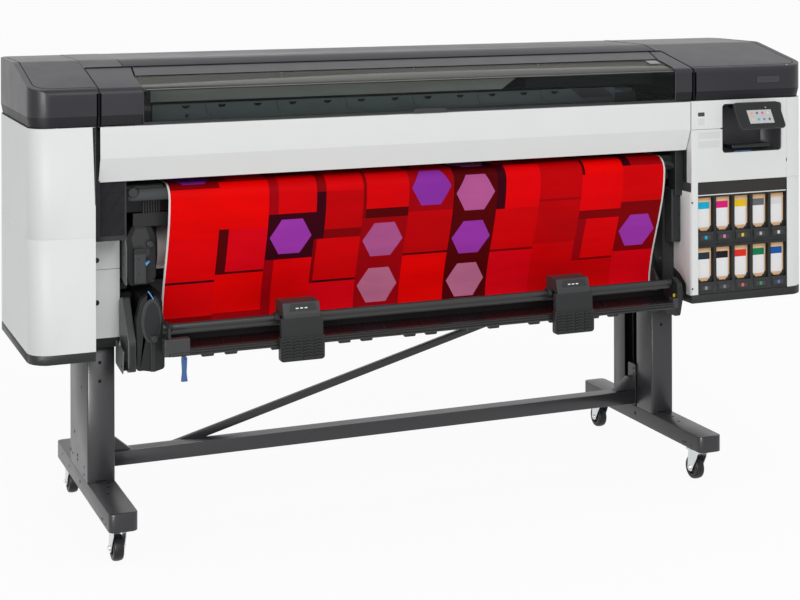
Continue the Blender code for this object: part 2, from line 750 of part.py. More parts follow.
def right_front_cover(low, high):
    """Upper front panel with the control pocket, and the post beside the ink bay."""
    right = PILLAR_EDGE - RUNNING_GAP
    post = RIGHT_EDGE + POST_WIDTH
    sill = BAY_TOP + 0.001
    sheet = [(RIGHT_EDGE, low), (post, low), (post, sill), (right, sill), (right, high), (RIGHT_EDGE, high)]
    cover = prism("right_front_cover", "y", sheet, FRONT, FRONT + WALL, "white_plastic")
    x0 = RIGHT_EDGE + POCKET[0]
    x1 = RIGHT_EDGE + POCKET[1]
    z1 = CAP_BOTTOM - POCKET[2]
    z0 = CAP_BOTTOM - POCKET[3]
    tub = box(
        "pocket_tub",
        (x0 - WALL, FRONT + 0.001, z0 - WALL),
        (x1 + WALL, FRONT + POCKET_DEPTH + WALL, min(z1 + WALL, high - 0.001)),
    )
    hollow = box("pocket_hollow", (x0, FRONT - 0.010, z0), (x1, FRONT + POCKET_DEPTH, z1))
    bar_low, bar_high, bar_front, bar_back = PULL_BAR
    bar = box(
        "pull_bar",
        (x0 - 0.001, FRONT + bar_front, z0 + bar_low),
        (x1 + 0.001, FRONT + bar_back, z0 + bar_high),
    )
    back_top, normal, down = panel_lines()
    arm_from, arm_to, arm_width = PANEL_ARM
    rear = FRONT + POCKET_DEPTH + 0.001
    near = [
        (
            back_top[0] + down[0] * along - normal[0] * 2 * GAP,
            back_top[1] + down[1] * along - normal[1] * 2 * GAP,
        )
        for along in (arm_from, arm_to)
    ]
    far = [(rear, back_top[1] + down[1] * along) for along in (arm_to, arm_from)]
    arm = prism("panel_arm", "x", near + far, PANEL_MIDDLE - arm_width / 2, PANEL_MIDDLE + arm_width / 2)
    fuse(cover, tub)
    cut(cover, hollow)
    fuse(cover, bar, arm)


def panel_lines():
    """The control panel's upper back edge, which is its hinge, its facing direction and downward one."""
    normal = (-math.cos(PANEL_TILT), math.sin(PANEL_TILT))
    down = (-math.sin(PANEL_TILT), -math.cos(PANEL_TILT))
    front_top = (FRONT - PANEL_TOP[0], CAP_BOTTOM - PANEL_TOP[1])
    back_top = (front_top[0] - normal[0] * PANEL_THICKNESS, front_top[1] - normal[1] * PANEL_THICKNESS)
    return back_top, normal, down


def control_panel():
    back_top, normal, down = panel_lines()
    front_top = (back_top[0] + normal[0] * PANEL_THICKNESS, back_top[1] + normal[1] * PANEL_THICKNESS)
    front_low = (front_top[0] + down[0] * PANEL_LENGTH, front_top[1] + down[1] * PANEL_LENGTH)
    back_low = (back_top[0] + down[0] * PANEL_LENGTH, back_top[1] + down[1] * PANEL_LENGTH)
    edge = PANEL_EDGE
    outline = rounded([(*front_top, edge), (*front_low, edge), (*back_low, edge), (*back_top, 0)], steps=3)
    panel = prism(
        "control_panel",
        "x",
        outline,
        PANEL_MIDDLE - PANEL_WIDTH / 2,
        PANEL_MIDDLE + PANEL_WIDTH / 2,
        "screen_black",
    )
    hang(panel, "panel_hinge", (PANEL_MIDDLE, *back_top))


def right_inner_cover(low):
    """White side plate of the right cabinet, with a wavy rear edge beside the roll bay."""
    rear = [
        (0.152, 0.330), (0.083, 0.289), (0.108, 0.206), (0.160, 0.147),
        (0.141, 0.117), (0.065, 0.087), (0.030, 0.060), (0.030, TRIM_HEIGHT + GAP),
    ]
    outline = rounded(
        [(FRONT + 0.001, BAY_TOP - 0.030, 0), (FRONT + 0.165, BAY_TOP - 0.030, 0.010)]
        + [(FRONT + back, STAND_HEIGHT + up, 0.012) for back, up in rear[:-1]]
        + [(FRONT + rear[-1][0], low, 0), (FRONT + 0.001, low, 0)],
        steps=3,
    )
    prism("right_inner_cover", "x", outline, BAY_RIGHT, BAY_RIGHT + WALL, "white_plastic")


def front_hood():
    """Long front cover: upright above its crease, leaning back below it, with returned edges."""
    top = CAP_BOTTOM - HOOD_DROP
    crease = top - HOOD_CREASE
    foot = top - HOOD_HEIGHT
    section = [
        (FRONT + HOOD_DEPTH, top),
        (FRONT, top),
        (FRONT, crease),
        (FRONT + HOOD_SET_BACK, foot),
        (FRONT + HOOD_DEPTH, foot),
        (FRONT + HOOD_DEPTH, foot + WALL),
        (FRONT + HOOD_SET_BACK + WALL * 0.8, foot + WALL),
        (FRONT + WALL, crease + WALL * 0.2),
        (FRONT + WALL, top - WALL),
        (FRONT + HOOD_DEPTH, top - WALL),
    ]
    prism("front_hood", "x", section, LID_LEFT + 0.002, RIGHT_EDGE - 0.003, "white_plastic")


def rear_cover():
    """Rear top strip and back panel in one bent cover."""
    start = LID_DEPTH + LID_REAR_GAP
    radius = REAR_EDGE_RADIUS
    low = COVER_BOTTOM + GAP
    section = rounded([
        (FRONT + start, top_height(start), 0),
        (FRONT + CREST_DEPTH, TOP, CREST_RADIUS),
        (BACK, TOP, radius),
        (BACK, low, 0),
        (BACK - WALL, low, 0),
        (BACK - WALL, TOP - WALL, radius - WALL),
        (FRONT + CREST_DEPTH, TOP - WALL, CREST_RADIUS),
        (FRONT + start, top_height(start) - WALL, 0),
    ])
    prism("rear_cover", "x", section, LID_LEFT, LID_RIGHT, "dark_plastic")


def end_cap(name, inner, outer, front_radius):
    """A hollow dark cap whose top slopes to the front, open underneath."""
    side = 1 if outer > inner else -1
    shells = []
    for inset, label in ((0.0, ""), (CAP_WALL, "_hollow")):
        floor = CAP_BOTTOM if inset == 0 else CAP_BOTTOM - 0.010
        front = FRONT + inset
        back = BACK - inset
        profile = rounded([
            (front, floor, 0),
            (front, FRONT_EDGE - inset, CAP_EDGE_RADIUS),
            (FRONT + CREST_DEPTH, TOP - inset, CREST_RADIUS),
            (back, TOP - inset, REAR_EDGE_RADIUS),
            (back, floor, 0),
        ])
        near = inner + side * inset
        far = outer - side * inset
        low, high = min(near, far), max(near, far)
        body = prism(name + label, "x", profile, low, high, "dark_plastic" if inset == 0 else None)
        plan = rounded([
            (near, front, 0),
            (far, front, front_radius - inset),
            (far, back, REAR_CORNER_RADIUS - inset),
            (near, back, 0),
        ])
        corner = prism(name + label + "_plan", "z", plan, floor - 0.005, TOP + 0.005)
        boolean(body, corner, "INTERSECT")
        shells.append(body)
    cut(shells[0], shells[1])


def lid():
    """Window frame with its two end blocks and rear strip, and the bent smoked pane."""
    floor = CAP_BOTTOM + LID_LIFT
    thick = LID_WALL
    section = rounded([
        (FRONT, floor, 0),
        (FRONT, FRONT_EDGE, CAP_EDGE_RADIUS),
        (FRONT + LID_DEPTH, top_height(LID_DEPTH), 0),
        (FRONT + LID_DEPTH, top_height(LID_DEPTH) - thick, 0),
        (FRONT + thick, FRONT_EDGE - thick, 0),
        (FRONT + thick, floor, 0),
    ])
    frame = prism("window_frame", "x", section, LID_LEFT, LID_RIGHT, "dark_plastic")
    pane_left = LID_LEFT + LID_LEFT_BLOCK
    pane_right = LID_RIGHT - LID_RIGHT_BLOCK
    pane_back = LID_DEPTH - LID_REAR_STRIP
    opening = box(
        "window_opening",
        (pane_left, FRONT - 0.05, floor - 0.02),
        (pane_right, FRONT + pane_back, TOP),
    )
    cut(frame, opening)

    inset = PANE_INSET
    pane_floor = floor + PANE_LIFT
    end = pane_back - RUNNING_GAP
    outline = rounded([
        (FRONT + inset, pane_floor, 0),
        (FRONT + inset, FRONT_EDGE - inset, PANE_BEND),
        (FRONT + end, top_height(end) - inset, 0),
        (FRONT + end, top_height(end) - inset - PANE_WALL, 0),
        (FRONT + inset + PANE_WALL, FRONT_EDGE - inset - PANE_WALL, PANE_BEND - PANE_WALL),
        (FRONT + inset + PANE_WALL, pane_floor, 0),
    ])
    pane = prism("window", "x", outline, pane_left + RUNNING_GAP, pane_right - RUNNING_GAP, "smoked_glass")
    hinge = hang(frame, "lid_hinge", (0.0, FRONT + LID_DEPTH, top_height(LID_DEPTH)))
    pane.parent = hinge
    pane.matrix_parent_inverse = Matrix.Translation([-value for value in hinge.location])


# ---------------------------------------------------------------- ink
def ink():
    """Ink bay with ten sockets, and a cartridge in each."""
    low = COVER_BOTTOM + GAP
    bay = box(
        "ink_bay",
        (BAY_WALL, FRONT + BAY_SET_BACK, low),
        (PILLAR_EDGE + 0.015, FRONT + BAY_SET_BACK + BAY_DEPTH, BAY_TOP),
        "black_plastic",
    )
    width, depth, height = CARTRIDGE
    first = RIGHT_EDGE + POST_WIDTH + CARTRIDGE_MARGIN + width / 2
    slack = CARTRIDGE_CLEARANCE
    sockets = []
    number = 0
    for row in (1, 0):
        floor = STAND_HEIGHT + LOWER_ROW + row * CARTRIDGE_ROW_PITCH
        for column_index in range(5):
            number += 1
            x = first + column_index * CARTRIDGE_PITCH
            front = FRONT + CARTRIDGE_RECESS
            sockets.append((
                (x - width / 2 - slack, FRONT - 0.010, floor),
                (x + width / 2 + slack, front + depth + slack, floor + height + 2 * slack),
            ))
            piece = box(
                "ink_cartridge_" + str(number),
                (x - width / 2, front, floor + GAP),
                (x + width / 2, front + depth, floor + GAP + height),
                "carton",
                bevel=CARTRIDGE_EDGE,
            )
            hang(piece, "cartridge_slide_" + str(number), (x, front, floor))
    cut(bay, several("sockets", sockets))


# ---------------------------------------------------------------- print zone
def platen():
    z = PLATEN_TOP
    thick = PLATEN_THICKNESS
    section = rounded([
        (FRONT + PLATEN_REAR, z, 0),
        (FRONT + PLATEN_REAR, z - thick, 0),
        (FRONT + 0.098, z - thick, 0),
        (FRONT + 0.080, z - PLATEN_APRON, 0),
        (FRONT + 0.066, z - PLATEN_APRON, 0.004),
        (FRONT + PLATEN_FRONT, z, 0.018),
    ], steps=4)
    prism("platen", "x", section, FRAME_LEFT + GAP, FRAME_RIGHT - GAP, "black_plastic")


def drive_roller():
    z = PLATEN_TOP - DRIVE_ROLLER_DROP
    y = FRONT + DRIVE_ROLLER_BACK
    left = FRAME_LEFT + GAP
    right = FRAME_RIGHT - GAP
    roller = rod("drive_roller", "x", (y, z), DRIVE_ROLLER_RADIUS, left, right, "steel")
    hang(roller, "roller_axis", (0.0, y, z))


def carriages():
    """Print carriage against the scan beam, and the cutter's small carriage on its rail."""
    width, lift, rise = CARRIAGE
    z = PLATEN_TOP + lift
    rear = FRONT + SCAN_BEAM[0][0] - GAP
    parked = FRAME_RIGHT - CARRIAGE_PARK
    carriage = box(
        "print_carriage",
        (parked, FRONT + PLATEN_BEAM[0], z),
        (parked + width, rear, CAP_BOTTOM + rise),
        "dark_plastic",
        bevel=0.006,
    )
    hang(carriage, "carriage_slide", (parked, rear, z))
    rail_front = FRONT + CUTTER_RAIL[0][0] - GAP
    right = FRAME_RIGHT - CUTTER_PARK
    width, depth, low, high = CUTTER
    cutter = box(
        "cutter_carriage",
        (right - width, rail_front - depth, CAP_BOTTOM - low),
        (right, rail_front, CAP_BOTTOM - high),
        "black_plastic",
        bevel=0.003,
    )
    hang(cutter, "cutter_slide", (right - width / 2, rail_front, CAP_BOTTOM - (low + high) / 2))


def sheet_path():
    """Middle line of the sheet: up from the supply roll, over the platen, down to the take-up core."""
    supply_y = FRONT + SUPPLY_AXIS[0]
    supply_z = CAP_BOTTOM - SUPPLY_AXIS[1]
    core_y = FRONT + TAKE_UP_AXIS[0]
    core_z = CAP_BOTTOM - TAKE_UP_AXIS[1]
    half = SHEET_THICKNESS / 2
    roller_y = FRONT + DRIVE_ROLLER_BACK
    roller_z = PLATEN_TOP - DRIVE_ROLLER_DROP
    wrap = DRIVE_ROLLER_RADIUS + half + SHEET_LIFT
    points = [(supply_y + SUPPLY_RADIUS + half + RUNNING_GAP, supply_z)]
    for step in range(5):
        turn = math.pi / 2 * step / 4
        points.append((roller_y + wrap * math.cos(turn), roller_z + wrap * math.sin(turn)))
    flat = PLATEN_TOP + half + SHEET_LIFT
    bulge = FRONT + SHEET_BULGE
    radius = SHEET_BEND
    bend_y = bulge + radius
    points.append((bend_y, flat))
    for step in range(1, 6):
        turn = math.pi / 2 * (1 + step / 5)
        points.append((bend_y + radius * math.cos(turn), flat - radius + radius * math.sin(turn)))
    end_y = core_y - TAKE_UP_CORE - half - RUNNING_GAP
    top = flat - radius
    drop = top - core_z
    for step in range(1, 9):
        share = step / 8
        ease = share * share * (3 - 2 * share)
        points.append((bulge + (end_y - bulge) * ease, top - drop * share))
    return points


def thicken(points, thickness):
    """Closed outline of a strip that follows a line."""
    sides = ([], [])
    last = len(points) - 1
    for index, (a, b) in enumerate(points):
        before = points[max(index - 1, 0)]
        after = points[min(index + 1, last)]
        length = math.hypot(after[0] - before[0], after[1] - before[1])
        across = (-(after[1] - before[1]) / length, (after[0] - before[0]) / length)
        for sign, side in zip((1, -1), sides):
            reach = sign * thickness / 2
            side.append((a + across[0] * reach, b + across[1] * reach))
    return sides[0] + sides[1][::-1]


def media():
    """The printed sheet, the supply roll and both spindles."""
    outline = thicken(sheet_path(), SHEET_THICKNESS)
    prism("paper_sheet", "x", outline, SHEET_LEFT, SHEET_RIGHT, "paper")

    for name, place, core, flange in (
        ("upper_spindle", SUPPLY_AXIS, CORE_RADIUS, SUPPLY_FLANGE),
        ("lower_spindle", TAKE_UP_AXIS, TAKE_UP_CORE, TAKE_UP_FLANGE),
    ):
        y = FRONT + place[0]
        z = CAP_BOTTOM - place[1]
        profile = [
            (0.0, BRACKET_FACE + JOURNAL_LENGTH),
            (JOURNAL_RADIUS, BRACKET_FACE + JOURNAL_LENGTH),
            (JOURNAL_RADIUS, BRACKET_FACE - 0.010),
            (CORE_RADIUS, BRACKET_FACE - 0.010),
            (CORE_RADIUS, FLANGE_RIGHT + FLANGE_THICKNESS),
            (flange, FLANGE_RIGHT + FLANGE_THICKNESS),
            (flange, FLANGE_RIGHT),
            (core, FLANGE_RIGHT),
            (core, FLANGE_LEFT),
            (flange, FLANGE_LEFT),
            (flange, FLANGE_LEFT - FLANGE_THICKNESS),
            (JOURNAL_RADIUS, FLANGE_LEFT - FLANGE_THICKNESS),
            (JOURNAL_RADIUS, DRIVE_FACE - JOURNAL_LENGTH),
            (0.0, DRIVE_FACE - JOURNAL_LENGTH),
        ]
        turned(name, (0.0, y, z), profile, "black_plastic")

    y = FRONT + SUPPLY_AXIS[0]
    z = CAP_BOTTOM - SUPPLY_AXIS[1]
    inner = CORE_RADIUS + GAP
    ring = [
        (inner, FLANGE_RIGHT - RUNNING_GAP),
        (SUPPLY_RADIUS, FLANGE_RIGHT - RUNNING_GAP),
        (SUPPLY_RADIUS, FLANGE_LEFT + RUNNING_GAP),
        (inner, FLANGE_LEFT + RUNNING_GAP),
    ]
    turned("supply_roll", (0.0, y, z), ring, "roll_paper")


def roll_drives():
    """Drive housings at the left of both spindles, and the bracket at their right."""
    bore = JOURNAL_RADIUS + JOURNAL_CLEARANCE
    outer = DRIVE_FACE - DRIVE_WIDTH
    wall = FRAME_LEFT + GAP
    upper_y = FRONT + SUPPLY_AXIS[0]
    upper_z = CAP_BOTTOM - SUPPLY_AXIS[1]
    lower_y = FRONT + TAKE_UP_AXIS[0]
    lower_z = CAP_BOTTOM - TAKE_UP_AXIS[1]
    mount_front = FRONT + INNER_SET_BACK + INNER_RETURN + 0.003

    shape = rounded([
        (upper_y - 0.115, upper_z + 0.110, 0.030),
        (upper_y + 0.085, upper_z + 0.110, 0.030),
        (upper_y + 0.085, upper_z - 0.095, 0.030),
        (upper_y - 0.115, upper_z - 0.095, 0.045),
    ])
    upper = prism("roll_drive_upper", "x", shape, outer, DRIVE_FACE, "black_plastic")
    arm = box(
        "upper_arm",
        (wall, mount_front, upper_z - 0.060),
        (outer + 0.001, upper_y + 0.070, upper_z + 0.080),
    )
    bore_end = DRIVE_FACE - BORE_DEPTH
    hole = rod("upper_bore", "x", (upper_y, upper_z), bore, bore_end, DRIVE_FACE + 0.010, sides=32)
    fuse(upper, arm)
    cut(upper, hole)

    shape = rounded([
        (lower_y - 0.115, lower_z + 0.125, 0.040),
        (lower_y + 0.090, lower_z + 0.125, 0.030),
        (lower_y + 0.090, lower_z - 0.105, 0.040),
        (lower_y - 0.115, lower_z - 0.105, 0.055),
    ])
    lower = prism("roll_drive_lower", "x", shape, outer, DRIVE_FACE, "black_plastic")
    arm = box(
        "lower_arm",
        (wall, mount_front, COVER_BOTTOM + 0.008),
        (outer + 0.001, lower_y + 0.080, lower_z + 0.110),
    )
    hole = rod("lower_bore", "x", (lower_y, lower_z), bore, bore_end, DRIVE_FACE + 0.010, sides=32)
    fuse(lower, arm)
    cut(lower, hole)

    inner = BAY_RIGHT - RUNNING_GAP
    low = STAND_HEIGHT + BRACKET_LIFT
    bracket = box(
        "right_roll_bracket",
        (BRACKET_FACE, lower_y - 0.060, low),
        (inner, upper_y + 0.080, upper_z + 0.060),
        "black_plastic",
    )
    root = box(
        "bracket_root",
        (inner - 0.001, FRONT + 0.170, COVER_BOTTOM + 0.008),
        (BAY_WALL - GAP, upper_y + 0.080, upper_z + 0.060),
    )
    nose = box(
        "bracket_nose",
        (BRACKET_FACE, FRONT + TABLE_TRAY[1] - 0.030, STAND_HEIGHT + BRACKET_LIFT),
        (inner, lower_y - 0.059, STAND_HEIGHT + 0.040),
    )
    start = BRACKET_FACE - 0.010
    end = BRACKET_FACE + BORE_DEPTH
    holes = [
        rod("bracket_bore_upper", "x", (upper_y, upper_z), bore, start, end, sides=32),
        rod("bracket_bore_lower", "x", (lower_y, lower_z), bore, start, end, sides=32),
    ]
    fuse(bracket, root, nose)
    cut(bracket, *holes)


# ---------------------------------------------------------------- loading table
def loading_table():
    """Bars and tray below the sheet, two sliding pads and the release lever."""
    x0 = DRIVE_FACE + RUNNING_GAP
    x1 = BRACKET_FACE - GAP
    base = STAND_HEIGHT
    bar_y = FRONT + TABLE_BAR[0]
    bar_z = base + TABLE_BAR[1]
    table = box(
        "loading_table",
        (x0 + 0.001, FRONT + TABLE_TRAY[0], base + TABLE_TRAY[2]),
        (x1 - 0.001, FRONT + TABLE_TRAY[1], base + TABLE_TRAY[3]),
        "black_plastic",
    )
    rail = box(
        "table_rail",
        (x0 + 0.001, FRONT + TABLE_RAIL[0], base + TABLE_RAIL[2]),
        (x1 - 0.001, FRONT + TABLE_RAIL[1], base + TABLE_RAIL[3]),
    )
    bar = rod("table_bar", "x", (bar_y, bar_z), TABLE_BAR_RADIUS, x0 + 0.001, x1 - 0.001, sides=16)
    plate_low = base + TABLE_RAIL[2]
    plate_high = bar_z + TABLE_BAR_RADIUS + 0.006
    front = FRONT + TABLE_RAIL[0]
    back = FRONT + TABLE_TRAY[1]
    ends = [
        box("table_end_left", (x0, front, plate_low), (x0 + TABLE_END_LEFT, back, plate_high)),
        box(
            "table_end_right",
            (x1 - TABLE_END_RIGHT, front, base - TABLE_END_DROP),
            (x1, back, plate_high),
        ),
    ]
    fuse(table, rail, bar, *ends)

    rear = front - RUNNING_GAP
    cap_low = bar_z + TABLE_BAR_RADIUS + RUNNING_GAP
    for name, centre in (("left", LEFT + PAD_CENTRES[0]), ("right", RIGHT - PAD_CENTRES[1])):
        hook = rounded([
            (rear, base - PAD_DROP, 0),
            (rear, cap_low, 0),
            (bar_y + PAD_HOOK, cap_low, 0),
            (bar_y + PAD_HOOK, base + PAD_TOP, 0.010),
            (rear - PAD_DEPTH, base + PAD_TOP, 0.010),
            (rear - PAD_DEPTH, base - PAD_DROP, 0.008),
        ], steps=3)
        pad = prism(
            "table_pad_" + name,
            "x",
            hook,
            centre - PAD_WIDTH / 2,
            centre + PAD_WIDTH / 2,
            "black_plastic",
        )
        hang(pad, "pad_slide_" + name, (centre, bar_y, bar_z))

    radius = LEVER_RADIUS
    x = x0 + TABLE_END_LEFT + LEVER_OFFSET
    z = plate_low - GAP - radius
    head = [
        (x + radius * math.cos(math.pi * step / 8), z + radius * math.sin(math.pi * step / 8))
        for step in range(9)
    ]
    tip = z - LEVER_LENGTH
    blade = [(x - 0.006, z - 0.040), (x - 0.009, tip), (x + 0.009, tip), (x + 0.006, z - 0.040)]
    y = front + 0.005
    lever = prism("table_lever", "y", head + blade, y, y + LEVER_THICKNESS, "blue_plastic")
    hang(lever, "lever_pivot", (x, y + LEVER_THICKNESS / 2, z))


def build():
    stand()
    cross_members()
    chassis()
    cabinets()
    front_hood()
    rear_cover()
    end_cap("left_end_cap", LID_LEFT - CAP_GAP, LEFT, CORNER_RADIUS)
    end_cap("right_end_cap", LID_RIGHT + 2 * CAP_GAP, RIGHT, PILLAR_RADIUS)
    lid()
    ink()
    control_panel()
    platen()
    drive_roller()
    carriages()
    media()
    roll_drives()
    loading_table()


build()
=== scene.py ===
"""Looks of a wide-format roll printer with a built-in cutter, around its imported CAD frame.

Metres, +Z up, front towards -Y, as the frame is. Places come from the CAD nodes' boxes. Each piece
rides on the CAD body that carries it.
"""

import random
from math import atan2, cos, dist, hypot, pi, radians, sin, tan, tau

import bmesh
import bpy
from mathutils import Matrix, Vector


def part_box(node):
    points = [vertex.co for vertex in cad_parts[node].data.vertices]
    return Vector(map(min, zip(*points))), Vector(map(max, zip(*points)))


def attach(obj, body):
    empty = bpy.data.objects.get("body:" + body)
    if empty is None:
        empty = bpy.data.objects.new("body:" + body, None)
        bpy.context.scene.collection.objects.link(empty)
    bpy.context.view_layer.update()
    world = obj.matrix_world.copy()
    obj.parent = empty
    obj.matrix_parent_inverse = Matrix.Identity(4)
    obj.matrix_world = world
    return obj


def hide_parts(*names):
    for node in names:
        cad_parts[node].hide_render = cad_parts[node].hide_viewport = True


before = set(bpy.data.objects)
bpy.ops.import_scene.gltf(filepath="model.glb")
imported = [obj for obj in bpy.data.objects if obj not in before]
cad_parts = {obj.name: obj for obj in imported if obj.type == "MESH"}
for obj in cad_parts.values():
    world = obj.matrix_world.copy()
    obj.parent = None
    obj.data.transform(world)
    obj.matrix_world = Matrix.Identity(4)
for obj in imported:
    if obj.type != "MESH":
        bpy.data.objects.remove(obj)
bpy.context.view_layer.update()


class Span:
    """A CAD node's box with named sides."""

    def __init__(self, node):
        low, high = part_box(node)
        self.x0, self.y0, self.z0 = low
        self.x1, self.y1, self.z1 = high
        self.cx, self.cy, self.cz = (low + high) / 2


# ---------------------------------------------------------------- places taken from the frame
LEFT_UPPER = Span("left_cover_upper")
RIGHT_FRONT = Span("right_front_cover")
RIGHT_SIDE = Span("right_side_cover")
LEFT_CAP = Span("left_end_cap")
RIGHT_CAP = Span("right_end_cap")
LID = Span("window_frame")
PANE = Span("window")
HOOD = Span("front_hood")
PAPER = Span("paper_sheet")
TABLE = Span("loading_table")
BAY = Span("ink_bay")
PANEL = Span("control_panel")
PLATEN = Span("platen")
SUPPLY = Span("supply_roll")
TAKE_UP = Span("lower_spindle")
ROLLER = Span("drive_roller")
CARRIAGE = Span("print_carriage")
REAR = Span("rear_cover")

FRONT = LEFT_UPPER.y0
BACK = LEFT_UPPER.y1
LEFT = LEFT_UPPER.x0
RIGHT = RIGHT_SIDE.x1
CAP_BOTTOM = LEFT_CAP.z0
TOP_FALL = 0.065
TOP = CAP_BOTTOM + 0.171
FRONT_EDGE = TOP - TOP_FALL
CREST = FRONT + 0.29       # behind it the top is level
PANE_BEND = 0.014
PROUD = 0.0004              # how far a sticker or an inlay stands off its surface


def top_height(y):
    """Height of the top at a place from front to back: a slope, then level."""
    return FRONT_EDGE + (min(y, CREST) - FRONT) * TOP_FALL / (CREST - FRONT)


# ---------------------------------------------------------------- materials
OWN = "own"                 # default value of the slot arguments


def socket(node, name, value):
    node.inputs[name].default_value = value


def fresh(name):
    """A new material, its nodes, its linker and its shader."""
    material = bpy.data.materials.new(name)
    material.use_nodes = True
    tree = material.node_tree
    return material, tree.nodes, tree.links.new, tree.nodes["Principled BSDF"]


def add(nodes, kind, operation=None, **inputs):
    """A new shader node with inputs set; an underscore in an input's name stands for a space."""
    node = nodes.new("ShaderNode" + kind)
    if operation:
        node.operation = operation
    for name, value in inputs.items():
        socket(node, name.replace("_", " "), value)
    return node


def ramp(nodes, link, source, *stops):
    """A colour ramp's output over a value, from two (position, colour) stops."""
    tone = add(nodes, "ValToRGB")
    for element, (position, colour) in zip(tone.color_ramp.elements, stops):
        element.position = position
        element.color = (*colour, 1.0)
    link(source, tone.inputs["Fac"])
    return tone.outputs["Color"]


def roughen(nodes, link, shader, patches, low, high, fine, strength, depth):
    """Patchy gloss between two roughness values, and a fine relief."""
    gloss = add(nodes, "MapRange", To_Min=low, To_Max=high)
    link(patches, gloss.inputs["Value"])
    link(gloss.outputs["Result"], shader.inputs["Roughness"])
    relief = add(nodes, "Bump", Strength=strength, Distance=depth)
    link(fine, relief.inputs["Height"])
    link(relief.outputs["Normal"], shader.inputs["Normal"])


def finish(name, colour, roughness=0.45, metallic=0.0, vary=0.06, grain=600.0, bump=0.04, smudge=0.1,
           wear=0.0, specular=0.5, stretch=(1.0, 1.0, 1.0)):
    """A surface with broad colour drift, fine moulded grain, smudged gloss and rubbed edges."""
    material, nodes, link, shader = fresh(name)
    socket(shader, "Metallic", metallic)
    socket(shader, "Specular IOR Level", specular)
    place = add(nodes, "TexCoord")
    scale = add(nodes, "Mapping", Scale=stretch)
    link(place.outputs["Object"], scale.inputs["Vector"])
    clouds = []
    for size, detail in ((5.0, 6.0), (14.0, 4.0), (grain, 2.0)):
        cloud = add(nodes, "TexNoise", Scale=size, Detail=detail)
        link(scale.outputs["Vector"], cloud.inputs["Vector"])
        clouds.append(cloud.outputs["Fac"])
    drift, patches, fine = clouds
    dark = [c * (1 - vary) for c in colour]
    pale = [min(c * (1 + vary), 1.0) for c in colour]
    paint = ramp(nodes, link, drift, (0.3, dark), (0.72, pale))
    if wear:
        bent = add(nodes, "NewGeometry")
        edge = ramp(nodes, link, bent.outputs["Pointiness"], (0.52, (0, 0, 0)), (0.6, (1, 1, 1)))
        amount = add(nodes, "Math", "MULTIPLY")
        socket(amount, 1, wear)
        link(edge, amount.inputs[0])
        rub = add(nodes, "MixRGB", Color2=(*[min(c * 1.5 + 0.05, 1.0) for c in colour], 1.0))
        link(amount.outputs["Value"], rub.inputs["Fac"])
        link(paint, rub.inputs["Color1"])
        paint = rub.outputs["Color"]
    link(paint, shader.inputs["Base Color"])
    low = max(roughness - smudge / 2, 0.02)
    high = min(roughness + smudge / 2, 1.0)
    roughen(nodes, link, shader, patches, low, high, fine, bump, 0.0006)
    return material


WHITE = finish("white_cover", (0.8, 0.822, 0.81), 0.5, vary=0.012, grain=900, bump=0.05, wear=0.25,
               specular=0.25)
WHITE_SHADE = finish("white_shaded", (0.7, 0.72, 0.71), 0.45, vary=0.015, grain=900, bump=0.05)
DARK = finish("dark_cover", (0.026, 0.025, 0.031), 0.36, vary=0.05, grain=1100, bump=0.1, wear=0.5,
              specular=0.28)
BAND = finish("dark_band", (0.011, 0.011, 0.014), 0.46, vary=0.05, grain=1100, bump=0.1, specular=0.22)
BLACK = finish("black_plastic", (0.017, 0.018, 0.019), 0.42, vary=0.12, grain=700, bump=0.1, wear=0.5,
               specular=0.22)
# Real black inner parts, and also black sheets that are painted shade inside holes, slots, vents, notches
# and gaps
BLACK_DEEP = finish("inner_black_and_painted_shade", (0.006, 0.006, 0.007), 0.55, vary=0.12, grain=500, bump=0.08,
                    specular=0.12)
GREY = finish("grey_plastic", (0.04, 0.041, 0.043), 0.42, vary=0.08, grain=700, bump=0.08, wear=0.4,
              specular=0.3)
PAINT = finish("stand_paint", (0.011, 0.0105, 0.014), 0.34, vary=0.05, grain=420, bump=0.12, wear=0.45,
               specular=0.55)
ZINC = finish("zinc_plate", (0.66, 0.69, 0.7), 0.3, 1.0, vary=0.1, grain=160, bump=0.1, smudge=0.18)
STEEL = finish("ground_steel", (0.5, 0.51, 0.52), 0.26, 1.0, vary=0.06, grain=300, bump=0.1,
               stretch=(0.05, 1.0, 1.0))
TYRE = finish("wheel_tread", (0.012, 0.012, 0.013), 0.42, vary=0.15, grain=300, bump=0.12, specular=0.3)
CARTON = finish("kraft_board", (0.9, 0.585, 0.33), 0.78, vary=0.07, grain=260, bump=0.2,
                stretch=(1.0, 1.0, 0.25), specular=0.2)
LABEL = finish("label_white", (0.92, 0.92, 0.93), 0.4, vary=0.01, grain=500, bump=0.03)
STICKER = finish("sticker_blank", (0.74, 0.76, 0.75), 0.3, vary=0.01, grain=500, bump=0.03)
AMBER = finish("sticker_amber", (0.8, 0.62, 0.02), 0.4, vary=0.02, grain=500, bump=0.03)
BLUE = finish("blue_lever", (0.035, 0.115, 0.33), 0.36, vary=0.06, grain=700, bump=0.06, wear=0.3)
BLUE_LIGHT = finish("blue_hub", (0.1, 0.34, 0.75), 0.4, vary=0.05, grain=700, bump=0.05)
SCREEN_BLACK = finish("screen_glass", (0.008, 0.009, 0.01), 0.12, vary=0.05, grain=60, bump=0.01,
                      smudge=0.08, specular=0.35)
ROLL_PAPER = finish("roll_paper", (0.82, 0.82, 0.8), 0.55, vary=0.02, grain=700, bump=0.05,
                    stretch=(1.0, 6.0, 6.0))
BEAM_GREEN = finish("scan_beam_paint", (0.56, 0.62, 0.56), 0.5, vary=0.05, grain=500, bump=0.05)
PLATEN_DARK = finish("inner_panel", (0.02, 0.026, 0.027), 0.55, vary=0.1, grain=400, bump=0.06,
                     specular=0.2)


